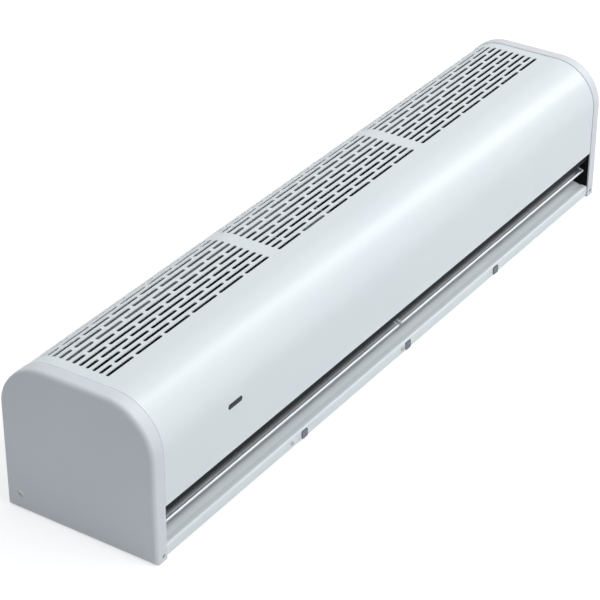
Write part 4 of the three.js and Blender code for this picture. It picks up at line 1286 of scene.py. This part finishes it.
@dataclass(frozen=True)
class Drive:
    """The motor in the middle and a cross-flow fan on each side of it."""

    form: Envelope = Envelope()
    fan_start: float = 64.0
    fan_length: float = 410.0
    blade_count: int = 36
    blade_depth: float = 8.5
    blade_inset: float = 0.6
    ring_border: float = 4.0
    blade_thickness: float = 0.7
    lean: float = 0.16
    bow: float = 0.05
    disc_count: int = 10
    disc: float = 1.0
    bore: float = 4.3
    hub_radius: float = 10.0
    hub_length: float = 18.0

    def blade(self) -> Surface:
        """One blade along x: at share t of its depth it leads by lean t^2 + bow sin(pi t) radians."""
        share = np.linspace(0.0, 1.0, 5)
        radius = self.form.fan_radius - self.blade_inset - self.blade_depth * (1 - share)
        lead = self.lean * share**2 + self.bow * np.sin(math.pi * share)
        half = self.blade_thickness / 2 / radius
        ahead = np.column_stack([radius * np.cos(lead + half), radius * np.sin(lead + half)])
        behind = np.column_stack([radius * np.cos(lead - half), radius * np.sin(lead - half)])
        return swept_x(np.vstack([behind, ahead[::-1]]), [self.disc / 2, self.fan_length - self.disc / 2])

    def fan(self, side: str) -> bpy.types.Object:
        """Blades between evenly spaced discs, with a hub at each end.

        Args:
            side: "left" or "right".

        Returns:
            The fan.
        """
        places = np.linspace(0.0, self.fan_length - self.disc, self.disc_count)
        parts = [polar_copies(self.blade(), self.blade_count)]
        for number, x in enumerate(places):
            closed = number in (0, self.disc_count - 1)
            inner = self.bore if closed else self.form.fan_radius - self.blade_depth - self.ring_border
            parts.append(tube_ring(inner, self.form.fan_radius, x, x + self.disc, 72))
        for start in (self.disc / 2, self.fan_length - self.disc / 2 - self.hub_length):
            parts.append(tube_ring(self.bore, self.hub_radius, start, start + self.hub_length, 36))
        shape = joined(parts).shifted(self.fan_start)
        shape = shape if SIDES[side] > 0 else shape.mirrored()
        return make_object(side + "_fan_wheel", shape.shifted(0.0, self.form.axis_y, self.form.axis_z))

    def build(self) -> None:
        """Builds and dresses the fans and dresses the rest of the drive."""
        for side in SIDES:
            # The fans are coloured dark as painted shade inside the casing.
            settle(self.fan(side), FAN_ALUMINIUM_PAINTED_SHADE, "rotor", [side + "_fan"])
            dress_nodes(RUBBER, side + "_motor_rubber", side + "_bearing_seat")
            dress_nodes(GALVANISED, side + "_motor_strap")
            dress_nodes(GROUND_STEEL, side + "_bearing", side + "_stub_shaft")
        dress_nodes(GROUND_STEEL, "motor_shaft")
        dress_nodes(GALVANISED, "motor_cradle")
        dress_nodes(MOTOR_ENAMEL, "motor_body")


@dataclass(frozen=True)
class Electrics:
    """Control box, receiver, lead and grommet."""

    form: Envelope = Envelope()
    flange: float = 2.0
    crown: float = 0.3

    def lens(self) -> bpy.types.Object:
        """The receiver's window on its flange: its face rises by crown (1 - u^2) at share u."""
        radius = self.form.window_height / 2
        half = self.form.window_length / 2 - radius
        turn = np.linspace(-math.pi / 2, math.pi / 2, 13)
        arc = np.column_stack([half + radius * np.cos(turn), radius * np.sin(turn)])
        loop = np.vstack([arc, -arc])
        core = np.column_stack([np.clip(loop[:, 0], -half, half), np.zeros(len(loop))])
        back = self.form.front_y + self.form.sheet + self.form.fit
        shares = np.array([1 + self.flange / radius] * 2 + [1.0, 1.0, 0.85, 0.6, 0.3, 0.08])
        heights = self.form.front_y - self.form.skin_rise - self.crown * (1 - shares**2)
        heights[:3] = [back + self.flange, back, back]
        rings = [(core + (loop - core) * share, y) for share, y in zip(shares, heights)]
        rows = [np.column_stack([ring[:, 0], np.full(len(ring), y), ring[:, 1]]) for ring, y in rings]
        points = np.vstack(rows) + np.array([self.form.window_x, 0.0, self.form.window_z])
        columns = len(loop)
        plates = [np.arange(columns), (len(rows) - 1) * columns + np.arange(columns)[::-1]]
        quads = grid_quads(len(rows), columns, wrap_columns=True)
        return make_object("receiver_lens", Surface(points, quads, plates))

    def build(self) -> None:
        """Builds the window and dresses the rest."""
        settle(self.lens(), DARK_LENS, "root", ["receiver_window"])
        dress_nodes(GALVANISED, "control_box", "control_box_cover")
        dress_nodes(LACQUERED_BOARD, "circuit_board", "receiver_board")
        dress_nodes(CREAM_NYLON, "run_capacitor", "terminal_block")
        dress_nodes(RUBBER, "cable_grommet", "motor_lead")


@dataclass(frozen=True)
class Fasteners:
    """Screws and clips that show on the lip and the caps."""

    form: Envelope = Envelope()
    head_height: float = 1.2
    shank_share: float = 0.52
    crown: float = 0.6
    cross_width: float = 0.26
    cross_reach: float = 0.62
    cross_depth: float = 0.35
    tip_length: float = 1.5
    clip_corner: float = 1.4
    clip_dish: float = 0.45
    clip_spare: float = 2.0
    clip_drop: float = 0.5
    clip_edge: float = 0.15

    def screw(self, node: str, outward: str) -> bpy.types.Object:
        """A pan-head screw with a cross recess, where the frame has its plain one.

        It is turned about X: tip, shank, flat seat, rim, and a crown that falls by u^2 at share u of
        the radius. The recess is two crossed slots.

        Args:
            node: The frame's screw.
            outward: Where its head faces: "left", "right" or "front".

        Returns:
            The screw.
        """
        low, high = (np.array(corner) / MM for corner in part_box(node))
        axis = 1 if outward == "front" else 0
        across = [place for place in range(3) if place != axis]
        radius = float((high - low)[across].min()) / 2
        length = float((high - low)[axis])
        seat, shank = length - self.head_height, radius * self.shank_share
        share = np.linspace(1.0, 0.0, 6)
        crown = [(length - self.crown * u**2, radius * u) for u in share]
        stem = [(0.0, 0.0), (min(self.tip_length, seat / 2), shank), (seat, shank), (seat, radius)]
        body = turned(stem + crown, 28)
        wide, reach = radius * self.cross_width / 2, radius * self.cross_reach
        slot = rounded_loop([(-reach, -wide), (reach, -wide), (reach, wide), (-reach, wide)], [0.1] * 4)
        bar = swept_x(slot, [length - self.crown - self.cross_depth, length + 1.0])
        cross = joined([bar, bar.turned_about_x(math.pi / 2)])
        middle = (low + high) / 2
        if "lip" in node:
            middle[1] -= self.form.pan_rise
        body, cross = (part.shifted(-length / 2) for part in (body, cross))
        if outward == "front":
            body, cross = (part.turned_about_z(-math.pi / 2) for part in (body, cross))
        if outward == "left":
            body, cross = body.mirrored(), cross.mirrored()
        return carved(make_object(node + "_head", body.shifted(*middle)), cross.shifted(*middle))

    def clip(self, node: str) -> bpy.types.Object:
        """A spring clip whose face is dished by (1 - u^2)(1 - v^2) between its edges.

        u and v go from -1 to 1 across and up the face. In a corner of the face the distance past the
        corner's start is scaled by its larger part over its length, which makes the corner round.

        Args:
            node: The frame's clip.

        Returns:
            The clip.
        """
        low, high = (np.array(corner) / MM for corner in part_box(node))
        low = low - np.array([self.clip_spare, self.form.pan_rise, self.clip_drop])
        high = high + np.array([self.clip_spare, -self.form.pan_rise, 0.0])
        half, middle = (high - low) / 2, (high + low) / 2
        columns, rows = 13, 17
        axes = np.meshgrid(np.linspace(-1, 1, columns), np.linspace(-1, 1, rows), indexing="ij")
        flat = np.column_stack([axis.ravel() for axis in axes])
        corner = self.clip_corner / half[[0, 2]]
        past = np.clip(np.abs(flat) - 1 + corner, 0, None) / corner
        squeeze = past.max(axis=1) / np.maximum(np.hypot(*past.T), 1e-9)
        squeeze = np.where((past > 0).all(axis=1), squeeze, 1.0)[:, None]
        place = np.sign(flat) * (np.minimum(np.abs(flat), 1 - corner) + past * corner * squeeze)
        dish = self.clip_dish * (1 - flat**2).prod(axis=1)
        face = middle + half * np.column_stack([place[:, 0], -np.ones(len(flat)), place[:, 1]])
        face[:, 1] += dish
        outward = np.tile([0.0, -1.0, 0.0], (len(face), 1))
        thin = float(high[1] - low[1]) - self.clip_dish
        quads = grid_quads(columns, rows)[:, ::-1]
        return make_object(node + "_spring", thickened(face, outward, quads, thin))

    def build(self) -> None:
        """Builds and dresses the screws and clips."""
        for name in ("left", "centre", "right"):
            node = name + "_lip_clip"
            clip = bevelled(self.clip(node), self.clip_edge)
            settle(clip, PHOSPHATED, "root", [node])
        places = {"left_lip_screw": "front", "centre_lip_screw": "front"}
        for side in SIDES:
            places |= {side + "_cap_screw": side, side + "_corner_screw": "front"}
        for node, outward in places.items():
            settle(self.screw(node, outward), NICKEL_PLATE, "root", [node])


# ---- Studio ----


@dataclass(frozen=True)
class Lamp:
    """A soft rectangular lamp: where it hangs in metres, its sides, its watts and what it points at."""

    name: str
    place: tuple[float, float, float]
    width: float
    height: float
    power: float
    target: tuple[float, float, float] = (0.0, 0.0, 0.1)


@dataclass(frozen=True)
class Studio:
    """Camera at the photograph's angle, soft lamps, pale floor and white surroundings."""

    eye: tuple[float, float, float] = (-1.9658, -1.2552, 1.4542)
    forward: tuple[float, float, float] = (0.7125, 0.4738, -0.5174)
    lens: float = 132.56
    ambient: float = 0.36
    floor_glow: float = 0.62
    floor_half: float = 9.0
    lamps: tuple[Lamp, ...] = (
        Lamp("key_lamp", (0.0, -2.0, 2.95), 2.6, 1.0, 50.0),
        Lamp("fill_lamp", (0.4, -3.0, 0.6), 2.0, 1.2, 11.0),
        Lamp("top_lamp", (0.0, 0.4, 2.8), 2.6, 1.6, 10.0),
        # The shoulder mirrors this one to the camera.
        Lamp("sheen_lamp", (4.2, -1.8, 3.7), 1.4, 4.4, 76.0),
        # A low strip that lifts the foot of the left end.
        Lamp("kick_lamp", (-0.72, 0.0, 0.03), 0.4, 0.04, 0.04, (-0.5, 0.0, 0.05)),
    )

    def camera(self) -> None:
        """Adds the camera: right is forward crossed with Z, and up is right crossed with forward."""
        data = bpy.data.cameras.new("camera")
        data.lens = self.lens
        data.sensor_width = 36.0
        data.clip_end = 50.0
        forward = Vector(self.forward).normalized()
        right = forward.cross(Vector((0.0, 0.0, 1.0))).normalized()
        up = right.cross(forward)
        turn = Matrix((right, up, -forward)).transposed().to_4x4()
        camera = bpy.data.objects.new("camera", data)
        camera.matrix_world = Matrix.Translation(self.eye) @ turn
        bpy.context.scene.collection.objects.link(camera)
        bpy.context.scene.camera = camera

    def hang(self, lamp: Lamp) -> None:
        """Adds a lamp that the camera doesn't see, turned to its target."""
        data = bpy.data.lights.new(lamp.name, "AREA")
        data.shape = "RECTANGLE"
        data.size, data.size_y = lamp.width, lamp.height
        data.energy = lamp.power
        made = bpy.data.objects.new(lamp.name, data)
        made.visible_camera = False
        aim = Vector(lamp.target) - Vector(lamp.place)
        made.matrix_world = Matrix.Translation(lamp.place) @ aim.to_track_quat("-Z", "Y").to_matrix().to_4x4()
        bpy.context.scene.collection.objects.link(made)

    def seen(self, tree: bpy.types.NodeTree) -> bpy.types.Node:
        """A node that is 1 for rays from the camera, off gloss and through glass, and 0 for others."""
        path = add_node(tree, "ShaderNodeLightPath")
        either = add_node(
            tree, "ShaderNodeMath", {"operation": "MAXIMUM"},
            {0: (path, "Is Camera Ray"), 1: (path, "Is Glossy Ray")},
        )
        return add_node(
            tree, "ShaderNodeMath", {"operation": "MAXIMUM"},
            {0: (either, 0), 1: (path, "Is Transmission Ray")},
        )

    def surroundings(self) -> None:
        """Lights the scene evenly from all round, and shows white where the camera looks past the floor."""
        world = bpy.data.worlds.new("studio")
        world.use_nodes = True
        bpy.context.scene.world = world
        tree = world.node_tree
        tree.nodes.clear()
        soft = add_node(tree, "ShaderNodeBackground", {"Color": linear("#f4f7fb"), "Strength": self.ambient})
        white = add_node(tree, "ShaderNodeBackground", {"Color": (1.0, 1.0, 1.0, 1.0), "Strength": 1.0})
        links = {0: (self.seen(tree), 0), 1: (soft, 0), 2: (white, 0)}
        mix = add_node(tree, "ShaderNodeMixShader", links=links)
        add_node(tree, "ShaderNodeOutputWorld", links={"Surface": (mix, 0)})

    def floor(self) -> None:
        """Adds a wide pale floor that looks white but keeps the object's shadow."""
        half = self.floor_half
        corners = [(-half, -half, 0), (half, -half, 0), (half, half, 0), (-half, half, 0)]
        mesh = bpy.data.meshes.new("floor")
        mesh.from_pydata(corners, [], [(0, 1, 2, 3)])
        paper = bpy.data.materials.new("matt paper")
        paper.use_nodes = True
        tree = paper.node_tree
        tree.nodes.clear()
        dull = add_node(tree, "ShaderNodeBsdfDiffuse", {"Color": linear("#c4c6c8")})
        white = {"Color": (1.0, 1.0, 1.0, 1.0), "Strength": self.floor_glow}
        glow = add_node(tree, "ShaderNodeEmission", white)
        bright = add_node(tree, "ShaderNodeAddShader", links={0: (dull, 0), 1: (glow, 0)})
        links = {0: (self.seen(tree), 0), 1: (dull, 0), 2: (bright, 0)}
        mix = add_node(tree, "ShaderNodeMixShader", links=links)
        add_node(tree, "ShaderNodeOutputMaterial", links={"Surface": (mix, 0)})
        mesh.materials.append(paper)
        floor = bpy.data.objects.new("floor", mesh)
        bpy.context.scene.collection.objects.link(floor)

    def build(self) -> None:
        """Builds the studio."""
        bpy.context.scene.view_settings.view_transform = "Standard"
        self.camera()
        self.surroundings()
        self.floor()
        for lamp in self.lamps:
            self.hang(lamp)


def main() -> None:
    """Builds the studio and each sub-assembly."""
    logging.basicConfig(level=logging.INFO, format="%(message)s")
    Studio().build()
    for assembly in (Casing(), AirPath(), Outlet(), Drive(), Electrics(), Fasteners()):
        assembly.build()


if __name__ == "__main__":
    main()
